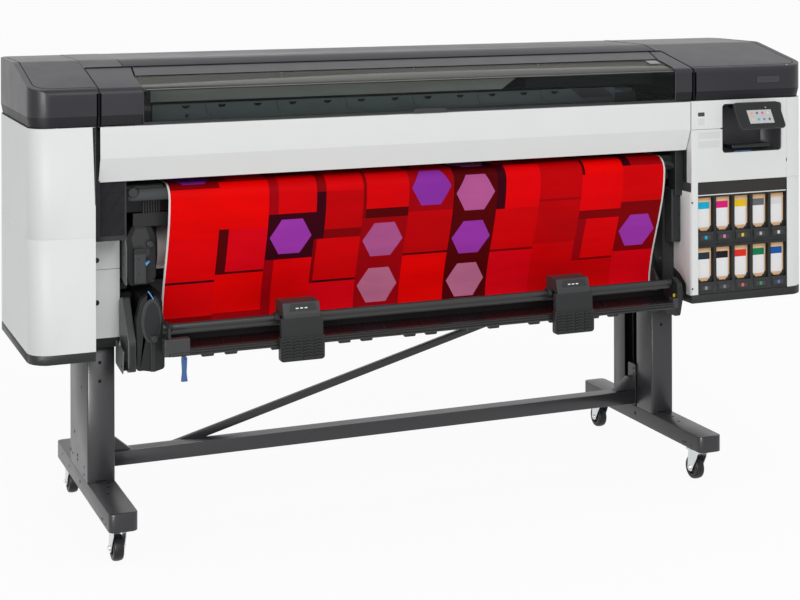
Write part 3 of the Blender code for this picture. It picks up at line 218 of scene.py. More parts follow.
# ---------------------------------------------------------------- mesh tools
def rounded(corners, steps=6):
    """Outline points for (a, b, radius) corners, with an arc at each rounded one."""
    points = []
    count = len(corners)
    for index, (a, b, radius) in enumerate(corners):
        if radius == 0:
            points.append((a, b))
            continue
        before = corners[index - 1]
        after = corners[(index + 1) % count]
        angle_in = atan2(before[1] - b, before[0] - a)
        angle_out = atan2(after[1] - b, after[0] - a)
        half = ((angle_out - angle_in + pi) % tau - pi) / 2
        reach = radius / tan(abs(half))
        far = radius / sin(abs(half))
        centre = (a + far * cos(angle_in + half), b + far * sin(angle_in + half))
        start = (a + reach * cos(angle_in), b + reach * sin(angle_in))
        begin = atan2(start[1] - centre[1], start[0] - centre[0])
        sweep = (pi - 2 * abs(half)) * (-1 if half > 0 else 1)
        for step in range(steps + 1):
            turn = begin + sweep * step / steps
            points.append((centre[0] + radius * cos(turn), centre[1] + radius * sin(turn)))
    return points


def rectangle(a0, b0, a1, b1, radius=0.0, steps=4):
    """A rectangle's outline with rounded corners."""
    corners = [(a0, b0, radius), (a1, b0, radius), (a1, b1, radius), (a0, b1, radius)]
    return rounded(corners, steps)


def circle(a, b, radius, sides=24):
    return [(a + radius * cos(tau * step / sides), b + radius * sin(tau * step / sides))
            for step in range(sides)]


def spot(axis, a, b, height):
    """A point from an outline's (a, b) and the height along its axis."""
    return {"x": (height, a, b), "y": (a, height, b), "z": (a, b, height)}[axis]


def along(axis, place):
    """A point's (a, b) across an axis, and its height along it: the other way round from spot."""
    x, y, z = place
    return {"x": (y, z, x), "y": (x, z, y), "z": (x, y, z)}[axis]


def prism(shape, axis, points, low, high):
    """Add a closed outline with thickness to a bmesh."""
    rings = [[shape.verts.new(spot(axis, a, b, level)) for a, b in points] for level in (low, high)]
    count = len(points)
    shape.faces.new(rings[0])
    shape.faces.new(rings[1][::-1])
    for index in range(count):
        after = (index + 1) % count
        shape.faces.new((rings[0][index], rings[1][index], rings[1][after], rings[0][after]))


def lathe(shape, axis, centre, profile, steps=48):
    """Add a turned solid: the profile lists (radius, place along the axis) of a closed section."""
    rings = []
    for radius, along in profile:
        if radius == 0:
            rings.append([shape.verts.new(spot(axis, centre[0], centre[1], along))])
            continue
        rings.append([shape.verts.new(spot(axis, centre[0] + radius * cos(tau * step / steps),
                     centre[1] + radius * sin(tau * step / steps), along)) for step in range(steps)])
    pairs = list(zip(rings, rings[1:]))
    if profile[0][0] > 0:
        pairs.append((rings[-1], rings[0]))
    for near, far in pairs:
        for step in range(steps):
            after = (step + 1) % steps
            corners = []
            for ring, places in ((near, (step, after)), (far, (after, step))):
                for position in places if len(ring) > 1 else (0,):
                    corners.append(ring[position])
            if len(corners) > 2:
                shape.faces.new(corners)


def settle(name, shape, material, body="printer_frame", slot=OWN, soft=0.0, segments=3, angle=30,
           replaces=()):
    """Turn a bmesh into a piece: normals, softened edges, smooth faces, material and body."""
    bmesh.ops.recalc_face_normals(shape, faces=shape.faces[:])
    mesh = bpy.data.meshes.new(name)
    shape.to_mesh(mesh)
    shape.free()
    piece = bpy.data.objects.new(name, mesh)
    bpy.context.scene.collection.objects.link(piece)
    mesh.shade_smooth()
    mesh.set_sharp_from_angle(angle=radians(angle))
    mesh.materials.append(material)
    if soft:
        soften(piece, soft, segments, angle)
    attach(piece, body)
    if replaces:
        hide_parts(*replaces)
    return piece


def soften(piece, width, segments=3, angle=30):
    """Round a piece's edges with a Bevel modifier that keeps flat faces flat."""
    edges = piece.modifiers.new("soft_edges", "BEVEL")
    edges.width = width
    edges.segments = segments
    edges.limit_method = "ANGLE"
    edges.angle_limit = radians(angle)
    edges.harden_normals = True
    edges.use_clamp_overlap = True
    return edges


def block(name, low, high, material, body="printer_frame", slot=OWN, soft=0.001, replaces=()):
    shape = bmesh.new()
    prism(shape, "z", [(low[0], low[1]), (high[0], low[1]), (high[0], high[1]), (low[0], high[1])], low[2],
          high[2])
    return settle(name, shape, material, body, slot, soft, replaces=replaces)


def slab(name, axis, points, low, high, material, body="printer_frame", slot=OWN, soft=0.0005,
         replaces=(), segments=2):
    shape = bmesh.new()
    prism(shape, axis, points, low, high)
    return settle(name, shape, material, body, slot, soft, segments, replaces=replaces)


def turned(name, axis, centre, profile, steps, material, **rest):
    shape = bmesh.new()
    lathe(shape, axis, centre, profile, steps)
    return settle(name, shape, material, **rest)


def carve(piece, *tools):
    """Cut bmesh tools out of a piece, before its edges are softened."""
    for tool in tools:
        subtract(piece, as_tool(tool))
        piece.data.set_sharp_from_angle(angle=radians(30))
    return piece


def as_tool(shape):
    """A bmesh as an object that can be cut out of another."""
    mesh = bpy.data.meshes.new("tool")
    bmesh.ops.recalc_face_normals(shape, faces=shape.faces[:])
    shape.to_mesh(mesh)
    shape.free()
    tool = bpy.data.objects.new("tool", mesh)
    bpy.context.scene.collection.objects.link(tool)
    return tool


def subtract(piece, tool):
    """Cut a tool object out of a piece's own mesh. The tool is used up."""
    others = list(piece.modifiers)
    step = piece.modifiers.new("cut", "BOOLEAN")
    step.operation = "DIFFERENCE"
    step.solver = "EXACT"
    step.object = tool
    for other in others:
        other.show_viewport = False
    bpy.context.view_layer.update()
    made = bpy.data.meshes.new_from_object(piece.evaluated_get(bpy.context.evaluated_depsgraph_get()))
    for other in others:
        other.show_viewport = True
    piece.modifiers.remove(step)
    old = piece.data
    piece.data = made
    bpy.data.meshes.remove(old)
    bpy.data.objects.remove(tool)


def cutter(axis, points, low, high):
    tool = bmesh.new()
    prism(tool, axis, points, low, high)
    return tool


def wire(name, points, radius, material, body="printer_frame", slot=OWN):
    """A round strip that follows points, with flat ends."""
    curve = bpy.data.curves.new(name, "CURVE")
    curve.dimensions = "3D"
    curve.bevel_depth = radius
    curve.bevel_resolution = 3
    curve.use_fill_caps = True
    line = curve.splines.new("POLY")
    line.points.add(len(points) - 1)
    for point, place in zip(line.points, points):
        point.co = (*place, 1.0)
    drawn = bpy.data.objects.new(name + "_line", curve)
    bpy.context.scene.collection.objects.link(drawn)
    bpy.context.view_layer.update()
    mesh = bpy.data.meshes.new_from_object(drawn.evaluated_get(bpy.context.evaluated_depsgraph_get()))
    bpy.data.objects.remove(drawn)
    shape = bmesh.new()
    shape.from_mesh(mesh)
    bpy.data.meshes.remove(mesh)
    bmesh.ops.remove_doubles(shape, verts=shape.verts[:], dist=0.00001)
    return settle(name, shape, material, body, slot)


def screw(name, axis, place, facing, body, radius=0.004, material=ZINC):
    """A domed screw head with a round groove in its dome, standing off a face."""
    a, b, base = along(axis, place)
    shape = bmesh.new()
    lathe(shape, axis, (a, b), [(0.0, base + facing * 0.0019), (radius * 0.3, base + facing * 0.001),
          (radius * 0.45, base + facing * 0.002), (radius * 0.8, base + facing * 0.0014),
          (radius, base + facing * 0.0004), (radius, base - facing * 0.001), (0.0, base - facing * 0.001)],
          20)
    return settle(name, shape, material, body=body, slot="zinc")


def dress(node, material, soft=0.0, segments=2, angle=30):
    """Give a CAD node a finished material, and softened edges."""
    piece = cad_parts[node]
    mesh = piece.data
    mesh.materials.clear()
    mesh.materials.append(material)
    smooth = piece.modifiers.new("smooth_faces", "NODES")
    smooth.node_group = smooth_faces()
    weld = piece.modifiers.new("weld", "WELD")
    weld.merge_threshold = 0.00002
    if soft:
        soften(piece, soft, segments, angle)
    rest = piece.modifiers.new("flat_faces", "NODES")
    rest.node_group = smooth_by_angle(angle)
    return piece


def geometry_group(name):
    """A new geometry-nodes group, its linker, its input's output and its output's input."""
    group = bpy.data.node_groups.new(name, "GeometryNodeTree")
    for way in ("INPUT", "OUTPUT"):
        group.interface.new_socket("Geometry", in_out=way, socket_type="NodeSocketGeometry")
    source = group.nodes.new("NodeGroupInput").outputs[0]
    result = group.nodes.new("NodeGroupOutput").inputs[0]
    return group, group.links.new, source, result


def smooth_faces():
    """Geometry nodes that drop a CAD mesh's stored normals and shade its faces smooth."""
    name = "smooth_faces"
    if name in bpy.data.node_groups:
        return bpy.data.node_groups[name]
    group, link, source, result = geometry_group(name)
    drop = group.nodes.new("GeometryNodeRemoveAttribute")
    socket(drop, "Name", "custom_normal")
    mark = group.nodes.new("GeometryNodeSetShadeSmooth")
    mark.domain = "FACE"
    link(source, drop.inputs[0])
    link(drop.outputs[0], mark.inputs[0])
    link(mark.outputs[0], result)
    return group


def smooth_by_angle(angle):
    """Geometry nodes that keep edges sharper than an angle crisp."""
    name = "crisp_" + str(angle)
    if name in bpy.data.node_groups:
        return bpy.data.node_groups[name]
    group, link, source, result = geometry_group(name)
    bend = group.nodes.new("GeometryNodeInputMeshEdgeAngle")
    compare = group.nodes.new("FunctionNodeCompare")
    compare.operation = "LESS_EQUAL"
    socket(compare, "B", radians(angle))
    mark = group.nodes.new("GeometryNodeSetShadeSmooth")
    mark.domain = "EDGE"
    link(source, mark.inputs[0])
    link(bend.outputs["Unsigned Angle"], compare.inputs["A"])
    link(compare.outputs["Result"], mark.inputs["Shade Smooth"])
    link(mark.outputs[0], result)
    return group


# ---------------------------------------------------------------- stand and casters
def stand():
    for side, inward in (("left", 1), ("right", -1)):
        foot = Span(side + "_foot")
        column = Span(side + "_column")
        dress(side + "_foot", PAINT, soft=0.0012)
        dress(side + "_column", PAINT, soft=0.0006)
        web = column.x0 if inward > 0 else column.x1
        for y, z in ((-0.045, 0.02), (-0.045, 0.14), (0.02, 0.36), (0.12, 0.37), (0.06, 0.3)):
            bolt_hole(side + "_web_hole", "x", (web, column.cy + y, column.z1 - z), -inward)
        for y, z in ((-0.08, 0.035), (-0.08, 0.012), (0.02, 0.03), (0.09, 0.03)):
            bolt_hole(side + "_low_hole", "x", (web, column.cy + y, column.z0 + z), -inward, 0.0045)
        for z in (0.05, 0.105):
            bolt_hole(side + "_front_hole", "y", (column.cx - 0.004, column.y0, column.z1 - z), -1)
        screw(side + "_front_screw", "y", (column.cx + 0.012, column.y0, column.z1 - 0.075), -1,
              "printer_frame", 0.004, GREY)
        # painted shade: a black sheet for the slot at the column's foot
        shape = rectangle(column.cx - 0.018, column.y0 - 0.0005, column.cx + 0.016, column.y0 + 0.0002)
        slab(side + "_column_slot", "z", shape, column.z0 + 0.002, column.z0 + 0.006, BLACK_DEEP, soft=0)
        for x, y in ((0.01, 0.05), (-0.004, 0.11), (0.018, 0.012)):
            bolt_hole(side + "_foot_hole", "z", (foot.cx + x, column.y0 - y, foot.z1), 1, 0.0045)
        for x, y in ((0.01, 0.06), (-0.012, 0.14), (0.0, 0.15), (0.012, 0.16)):
            bolt_hole(side + "_foot_rear_hole", "z", (foot.cx + x, column.y1 + y / 2, foot.z1), 1, 0.003)
        for y, z, radius in ((-0.3, 0.014, 0.004), (-0.285, 0.012, 0.003), (-0.335, 0.012, 0.003),
                             (0.02, 0.026, 0.006), (0.19, 0.024, 0.004), (0.3, 0.03, 0.003)):
            bolt_hole(side + "_foot_side_hole", "x", (foot.x0, y, foot.z0 + z), -1, radius)
    dress("cross_beam", PAINT, soft=0.002)
    dress("diagonal_brace", PAINT, soft=0.0015)
    beam = Span("cross_beam")
    for side, inward in (("left", 1), ("right", -1)):
        column = Span(side + "_column")
        mouth = column.x1 if inward > 0 else column.x0
        flange = rectangle(beam.y0 - 0.001, beam.z0 - 0.006, beam.y1 - 0.002, beam.z1 + 0.045, 0.006)
        near = mouth + inward * 0.0005
        slab(side + "_beam_flange", "x", flange, min(near, near + inward * 0.004),
             max(near, near + inward * 0.004), PAINT, soft=0.0008)
        for place in (beam.z1 + 0.03, beam.z1 + 0.012):
            screw(side + "_flange_bolt", "x", (near + inward * 0.004, beam.y0 + 0.01, place), inward,
                  "printer_frame", 0.005, GREY)


hole_number = 0


def bolt_hole(name, axis, place, facing, radius=0.0052):
    """A round hole in sheet metal: a rim, and a black disc just proud of the face as painted shade for the
    hole's inside.
    """
    global hole_number
    hole_number += 1
    a, b, base = along(axis, place)
    shape = bmesh.new()
    lathe(shape, axis, (a, b), [(0.0, base + facing * 0.00005), (radius * 0.82, base + facing * 0.00005),
          (radius * 0.9, base + facing * 0.0003), (radius, base + facing * 0.0001),
          (radius, base - facing * 0.0008), (0.0, base - facing * 0.0008)], 20)
    return settle(name + "_" + str(hole_number), shape, BLACK_DEEP, slot="stand_paint")


def caster(place):
    """Pressed zinc fork with ball race, a soft black tyre on a hub, and a pressed brake pedal."""
    fork = Span("caster_fork_" + place)
    wheel = Span("caster_wheel_" + place)
    pedal = Span("caster_brake_" + place)
    body = "fork_" + place
    x = wheel.cx
    radius = wheel.cz
    axle = wheel.cy
    swivel = axle - 0.022
    half = (wheel.x1 - wheel.x0) / 2

    turned("fork_race_" + place, "z", (x, swivel), [(0.0, fork.z1), (0.029, fork.z1),
           (0.03, fork.z1 - 0.001), (0.03, fork.z1 - 0.0035), (0.027, fork.z1 - 0.0045),
           (0.027, fork.z1 - 0.0055), (0.031, fork.z1 - 0.0065), (0.031, fork.z1 - 0.01),
           (0.0285, fork.z1 - 0.0135), (0.02, fork.z1 - 0.015), (0.0, fork.z1 - 0.015)], 48, ZINC,
           body=body, replaces=["caster_fork_" + place])
    gap = half + 0.002
    top = fork.z1 - 0.0095
    roof = rounded([(x - gap - 0.003, swivel - 0.024, 0.008), (x + gap + 0.003, swivel - 0.024, 0.008),
                   (x + gap + 0.003, swivel + 0.031, 0.004), (x - gap - 0.003, swivel + 0.031, 0.004)])
    slab("fork_roof_" + place, "z", roof, top - 0.003, top, ZINC, body=body, soft=0.0012, segments=3)
    cheek = rounded([
        (swivel - 0.024, top - 0.001, 0.002), (swivel - 0.018, top - 0.022, 0.01),
        (axle - 0.014, radius - 0.002, 0.01), (axle - 0.009, radius - 0.012, 0.008),
        (axle + 0.009, radius - 0.012, 0.008), (axle + 0.014, radius - 0.002, 0.01),
        (swivel + 0.031, top - 0.012, 0.012), (swivel + 0.031, top - 0.001, 0.002),
    ])
    for sign in (-1, 1):
        near = x + sign * gap
        slab("fork_cheek_" + place + ("_l" if sign < 0 else "_r"), "x", cheek,
             min(near, near + sign * 0.003), max(near, near + sign * 0.003), ZINC, body=body, soft=0.001)
        nut = bmesh.new()
        face = near + sign * 0.003
        hexagon = circle(axle, radius, 0.007, 6)
        prism(nut, "x", hexagon, min(face, face + sign * 0.004), max(face, face + sign * 0.004))
        lathe(nut, "x", (axle, radius), [(0.0, face + sign * 0.0062), (0.0032, face + sign * 0.0062),
              (0.0038, face + sign * 0.0055), (0.0038, face), (0.0, face)], 20)
        settle("axle_nut_" + place + ("_l" if sign < 0 else "_r"), nut, ZINC, body=body, soft=0.0006)

    tyre = bmesh.new()
    crown = 0.001
    profile = [(radius * 0.56, half - 0.002), (radius * 0.62, half), (radius - 0.008, half)]
    for step in range(7):
        turn = pi / 2 * step / 6
        profile.append((radius - crown - 0.006 + 0.006 * sin(turn), half - 0.006 + 0.006 * cos(turn)))
    profile.append((radius, 0.004))
    profile += [(r, -along) for r, along in reversed(profile)]
    lathe(tyre, "x", (axle, radius), [(r, x + along) for r, along in profile], 72)
    settle("tyre_" + place, tyre, TYRE, body="wheel_" + place, replaces=["caster_wheel_" + place])
    hub = bmesh.new()
    rim = [(0.005, half - 0.001), (0.01, half - 0.0005), (0.011, half - 0.005),
           (radius * 0.5, half - 0.006), (radius * 0.54, half - 0.001), (radius * 0.58, half - 0.002)]
    rim += [(r, -along) for r, along in reversed(rim)]
    lathe(hub, "x", (axle, radius), [(r, x + along) for r, along in rim], 48)
    settle("hub_" + place, hub, BLACK, body="wheel_" + place, slot="wheel_tread")

    hinge_y = pedal.y0 + 0.004
    hinge_z = pedal.z1 - 0.004
    tongue = rounded([
        (hinge_y - 0.0035, hinge_z + 0.0035, 0.003), (pedal.y1, hinge_z + 0.0012, 0.0008),
        (pedal.y1 + 0.001, hinge_z - 0.0008, 0.0006), (hinge_y + 0.004, hinge_z - 0.0045, 0.003),
        (hinge_y - 0.0035, hinge_z - 0.0035, 0.003),
    ])
    slab("brake_pedal_" + place, "x", tongue, pedal.x0, pedal.x1, ZINC, body="brake_" + place, soft=0.0012,
         segments=3, replaces=["caster_brake_" + place])
    pad = rectangle(pedal.x0 + 0.004, pedal.y1 - 0.014, pedal.x1 - 0.004, pedal.y1 - 0.002, 0.003)
    slab("brake_tread_" + place, "z", pad, hinge_z + 0.001, hinge_z + 0.003, TYRE, body="brake_" + place,
         soft=0.0006)


# ---------------------------------------------------------------- dark top: caps, lid, rear cover
BAND_TOP = CAP_BOTTOM + 0.031
BAND_LEAN = 0.006


def lean_band(shape, centre_x, half_x, sides):
    """Cut the lower band of a top piece and lean it inwards, towards its lower edge."""
    geometry = shape.verts[:] + shape.edges[:] + shape.faces[:]
    bmesh.ops.bisect_plane(shape, geom=geometry, plane_co=(0, 0, BAND_TOP), plane_no=(0, 0, 1))
    for vertex in shape.verts:
        if vertex.co.z > BAND_TOP - 0.0005:
            continue
        share = (BAND_TOP - vertex.co.z) / (BAND_TOP - CAP_BOTTOM)
        if vertex.co.y < FRONT + 0.07:
            vertex.co.y += BAND_LEAN * share * (1 - (vertex.co.y - FRONT) / 0.09)
        away = (vertex.co.x - centre_x) / half_x
        if away * sides > 0.3 or sides == 2:
            vertex.co.x -= away * BAND_LEAN * share


def end_cap(name, span, outer_left):
    """A dark cap: sloping top, rounded plan and leaning lower band."""
    front_radius = 0.06 if outer_left else 0.068
    profile = rounded([(FRONT, CAP_BOTTOM, 0), (FRONT, FRONT_EDGE, 0.02), (CREST, TOP, 0.12),
                      (BACK, TOP, 0.03), (BACK, CAP_BOTTOM, 0)], 8)
    piece = slab(name + "_shell", "x", profile, span.x0, span.x1, DARK, soft=0, replaces=[name])
    outer = span.x0 if outer_left else span.x1
    inner = span.x1 if outer_left else span.x0
    plan = rounded([(inner, FRONT, 0), (outer, FRONT, front_radius), (outer, BACK, 0.09), (inner, BACK, 0)],
                   14)
    around = cutter("z", rectangle(LEFT - 0.3, FRONT - 0.3, RIGHT + 0.3, BACK + 0.3), CAP_BOTTOM - 0.1,
                    TOP + 0.1)
    inside = bmesh.new()
    prism(inside, "z", plan, CAP_BOTTOM - 0.2, TOP + 0.2)
    surround = as_tool(around)
    subtract(surround, as_tool(inside))
    subtract(piece, surround)
    shape = bmesh.new()
    shape.from_mesh(piece.data)
    lean_band(shape, (span.x0 + span.x1) / 2, (span.x1 - span.x0) / 2, -1 if outer_left else 1)
    shape.to_mesh(piece.data)
    shape.free()
    piece.data.shade_smooth()
    piece.data.set_sharp_from_angle(angle=radians(30))
    paint_below(piece, BAND_TOP, BAND)
    soften(piece, 0.0022, 3, 35)
    return piece


def paint_below(piece, height, material):
    """Give the faces under a height another material."""
    piece.data.materials.append(material)
    for face in piece.data.polygons:
        if face.center.z < height - 0.0005:
            face.material_index = len(piece.data.materials) - 1


def top_inlay(name, outline, material, body="printer_frame", slot=OWN, lift=0.0009):
    """A thin raised panel that follows the sloping top, from a plan outline."""
    shape = bmesh.new()
    under = [shape.verts.new((x, y, top_height(y) - 0.0006)) for x, y in outline]
    over = [shape.verts.new((x, y, top_height(y) + lift)) for x, y in outline]
    count = len(outline)
    shape.faces.new(under[::-1])
    shape.faces.new(over)
    for index in range(count):
        after = (index + 1) % count
        shape.faces.new((under[index], under[after], over[after], over[index]))
    return settle(name, shape, material, body, slot, 0.0005, 2)


def top_seam(name, line, body, width=0.0022):
    """A dark groove drawn as a narrow strip along the sloping top."""
    shape = bmesh.new()
    rows = []
    last = len(line) - 1
    for index, (x, y) in enumerate(line):
        before = line[max(index - 1, 0)]
        after = line[min(index + 1, last)]
        length = hypot(after[0] - before[0], after[1] - before[1])
        across = (-(after[1] - before[1]) / length * width / 2, (after[0] - before[0]) / length * width / 2)
        rows.append([
            shape.verts.new((x + across[0] * s, y + across[1] * s, top_height(y + across[1] * s) + lift))
            for s, lift in ((-1, 0.00025), (1, 0.00025), (1, -0.0006), (-1, -0.0006))
        ])
    for near, far in zip(rows, rows[1:]):
        for corner in range(4):
            after = (corner + 1) % 4
            shape.faces.new((near[corner], near[after], far[after], far[corner]))
    shape.faces.new(rows[0])
    shape.faces.new(rows[-1][::-1])
    return settle(name, shape, SEAM_BLACK_AND_GAP_SHADE, body=body)


def rear_panel(side, edge, end):
    """The cap's rear part, which laps over the rear cover's end, and the seam along its side."""
    start = LID.y1 + 0.0012
    places = [start + (BACK - 0.034 - start) * step / 24 for step in range(25)]
    shape = bmesh.new()
    rows = []
    for y in places:
        rows.append([shape.verts.new((x, y, top_height(y) + lift)) for x,
                    lift in ((edge, 0.0009), (end, 0.0009), (end, -0.0004), (edge, -0.0004))])
    for near, far in zip(rows, rows[1:]):
        for corner in range(4):
            after = (corner + 1) % 4
            shape.faces.new((near[corner], near[after], far[after], far[corner]))
    shape.faces.new(rows[0])
    shape.faces.new(rows[-1][::-1])
    settle(side + "_cap_rear_panel", shape, DARK, soft=0.0003, segments=1)
    top_seam(side + "_rear_seam", [(end, y) for y in places], "printer_frame", 0.004)


def dark_top():
    end_cap("left_end_cap", LEFT_CAP, True)
    end_cap("right_end_cap", RIGHT_CAP, False)
    for name, edge, inner, sign in (("left", LEFT + 0.018, LEFT_CAP.x1 - 0.001, 1),
                                    ("right", RIGHT - 0.02, RIGHT_CAP.x0 + 0.001, -1)):
        front = FRONT + 0.022
        bend = 0.045
        line = [(inner, front)]
        for step in range(9):
            turn = pi / 2 * step / 8
            line.append((edge + sign * bend * (1 - sin(turn)), front + bend * (1 - cos(turn))))
        line += [(edge, front + bend + (CREST - front - bend) * step / 4) for step in range(1, 5)]
        line.append((edge, BACK - 0.095))
        top_seam(name + "_cap_seam", line, "printer_frame")
    rear_panel("left", LEFT_CAP.x1 - 0.0005, -0.99)
    rear_panel("right", RIGHT_CAP.x0 + 0.0005, 0.84)
    plate = rectangle(RIGHT - 0.201, CAP_BOTTOM + 0.051, RIGHT - 0.108, CAP_BOTTOM + 0.076, 0.004)
    slab("nameplate_rim", "y", plate, FRONT - 0.0004, FRONT + 0.001, BAND, soft=0.0002)
    plate = rectangle(RIGHT - 0.1995, CAP_BOTTOM + 0.0525, RIGHT - 0.1095, CAP_BOTTOM + 0.0745, 0.003)
    slab("nameplate_blank", "y", plate, FRONT - 0.0008, FRONT + 0.001, GREY, slot="dark_cover", soft=0.0003)
    lamp = bmesh.new()
    lamp_z = top_height(FRONT + 0.014)
    lathe(lamp, "z", (RIGHT - 0.071, FRONT + 0.014), [(0.0, lamp_z + 0.0008), (0.0022, lamp_z + 0.0006),
          (0.003, lamp_z - 0.002), (0.0, lamp_z - 0.002)], 20)
    settle("status_lamp", lamp, STICKER)

    lid()
    rear()


def lid():
    """Window frame with leaning lower bands, the smoked pane, its piping, screws and grip."""
    floor = LID.z0
    thick = 0.027
    section = rounded([(FRONT, floor, 0), (FRONT, FRONT_EDGE, 0.02), (LID.y1, top_height(LID.y1), 0),
                      (LID.y1, top_height(LID.y1) - thick, 0), (FRONT + thick, FRONT_EDGE - thick, 0),
                      (FRONT + thick, floor, 0)], 8)
    piece = slab("lid_frame", "x", section, LID.x0, LID.x1, DARK, body="lid", soft=0,
                 replaces=["window_frame"])
    opening = as_tool(cutter("x", [(FRONT - 0.05, floor - 0.02), (PANE.y1 + 0.0005, floor - 0.02),
                      (PANE.y1 + 0.0005, TOP + 0.02), (FRONT - 0.05, TOP + 0.02)], PANE.x0 - 0.0005,
                      PANE.x1 + 0.0005))
    subtract(piece, opening)
    shape = bmesh.new()
    shape.from_mesh(piece.data)
    lean_band(shape, 0.0, 10.0, 1)
    shape.to_mesh(piece.data)
    shape.free()
    piece.data.shade_smooth()
    piece.data.set_sharp_from_angle(angle=radians(30))
    paint_below(piece, BAND_TOP, BAND)
    soften(piece, 0.0018, 3, 35)

    dress("window", smoked_glass(), soft=0.0004)
    for x, name in ((PANE.x0 + 0.0004, "pane_piping_left"), (PANE.x1 - 0.0004, "pane_piping_right")):
        line = [(x, FRONT - 0.0002, floor + 0.004), (x, FRONT - 0.0002, FRONT_EDGE - 0.02)]
        for step in range(7):
            turn = radians(90 * step / 6)
            line.append((x, FRONT + 0.018 - 0.0182 * cos(turn), FRONT_EDGE - 0.018 + 0.0182 * sin(turn)))
        line.append((x, PANE.y1, top_height(PANE.y1) + 0.0002))
        wire(name, line, 0.0009, GREY, body="lid", slot="dark_cover")
    wire("pane_rear_seam", [(PANE.x0, PANE.y1, top_height(PANE.y1)),
         (PANE.x1, PANE.y1, top_height(PANE.y1))], 0.0012, BLACK_DEEP, body="lid", slot="dark_cover")
    width = PANE.x1 - PANE.x0
    for index in range(5):
        x = PANE.x0 + 0.014 + (width - 0.028) * index / 4
        screw("pane_screw_" + str(index), "z", (x, PANE.y1 - 0.014, top_height(PANE.y1 - 0.014) - 0.0004),
              1, "lid", 0.0032, PLATE_GREY)
    bend = radians(45)
    bend_y = FRONT + PANE_BEND * (1 - cos(bend)) + 0.0012
    bend_z = FRONT_EDGE - 0.0015 - PANE_BEND * (1 - sin(bend))
    # painted highlight: a pale wire along the pane's bend stands for the light the bend catches
    wire("pane_bend_highlight_line", [(PANE.x0 + 0.01, bend_y, bend_z), (PANE.x1 - 0.004, bend_y, bend_z)], 0.0011,
         PANE_BEND_HIGHLIGHT, body="lid")
    # painted shadow: a black sheet just behind the pane's front, along its left end, for the shade inside
    # there
    left_shadow = [(PANE.x0 + 0.003, floor + 0.008), (PANE.x0 + 0.0205, floor + 0.008),
              (PANE.x0 + 0.0205, FRONT_EDGE - 0.022), (PANE.x0 + 0.003, FRONT_EDGE - 0.022)]
    slab("pane_left_painted_shadow", "y", left_shadow, FRONT + 0.0062, FRONT + 0.007, BLACK_DEEP, body="lid",
         slot="dark_cover", soft=0)
    top_seam("lid_left_seam", [(PANE.x0 + 0.0125, LID.y1 - 0.004), (PANE.x0 + 0.0015, PANE.y1)], "lid",
             0.005)
    top_seam("lid_right_seam", [(PANE.x1 + 0.022, LID.y1 - 0.004), (PANE.x1 + 0.001, PANE.y1),
             (PANE.x1 + 0.001, FRONT + 0.022)], "lid", 0.0045)
    note = [(PANE.x1 - 0.052, PANE.y1 - 0.012), (PANE.x1 - 0.012, PANE.y1 - 0.012),
            (PANE.x1 - 0.012, PANE.y1 - 0.046), (PANE.x1 - 0.052, PANE.y1 - 0.046)]
    top_inlay("blank_sticker_pane", note, PANE_NOTE, body="lid", lift=0.0004)
    grip = rounded([(-0.062, floor - 0.0012, 0.002), (0.062, floor - 0.0012, 0.002),
                   (0.05, floor + 0.012, 0.006), (-0.05, floor + 0.012, 0.006)], 6)
    grip = [(x - 0.085, z) for x, z in grip]
    slab("lid_grip", "y", grip, FRONT - 0.005, FRONT + 0.004, GREY, body="lid", slot="dark_cover",
         soft=0.0012, segments=3)
    lip = [(FRONT + 0.0012, floor - 0.001), (FRONT + 0.01, floor - 0.001), (FRONT + 0.01, floor + 0.006),
           (FRONT + 0.0012, floor + 0.006)]
    slab("pane_lower_edge", "x", lip, PANE.x0, PANE.x1, BLACK, body="lid", slot="dark_cover", soft=0.0012)


def smoked_glass():
    """Tinted clear sheet: dark in front, a painted reflection that lightens its level part, and mirror-like
    at a low angle.
    """
    material, nodes, link, shader = fresh("smoked_glass")
    socket(shader, "Roughness", 0.1)
    socket(shader, "IOR", 1.5)
    socket(shader, "Specular IOR Level", 0.22)
    noise = add(nodes, "TexNoise", Scale=3.0)
    dark, pale = (0.022, 0.028, 0.028), (0.03, 0.036, 0.036)
    tint = ramp(nodes, link, noise.outputs["Fac"], (0.0, dark), (1.0, pale))
    place = add(nodes, "TexCoord")
    upward = add(nodes, "SeparateXYZ")
    link(place.outputs["Normal"], upward.inputs["Vector"])
    level = add(nodes, "MapRange", From_Min=0.55, From_Max=0.9)
    link(upward.outputs["Z"], level.inputs["Value"])
    # painted reflection: where the sheet faces up, its base colour turns a lighter warm grey
    painted_top_reflection = add(nodes, "MixRGB", Color2=(0.265, 0.265, 0.245, 1.0))
    link(level.outputs["Result"], painted_top_reflection.inputs["Fac"])
    link(tint, painted_top_reflection.inputs["Color1"])
    link(painted_top_reflection.outputs["Color"], shader.inputs["Base Color"])
    facing = add(nodes, "LayerWeight", Blend=0.35)
    cover = add(nodes, "MapRange", To_Min=0.14, To_Max=0.95)
    link(facing.outputs["Fresnel"], cover.inputs["Value"])
    link(cover.outputs["Result"], shader.inputs["Alpha"])
    return material


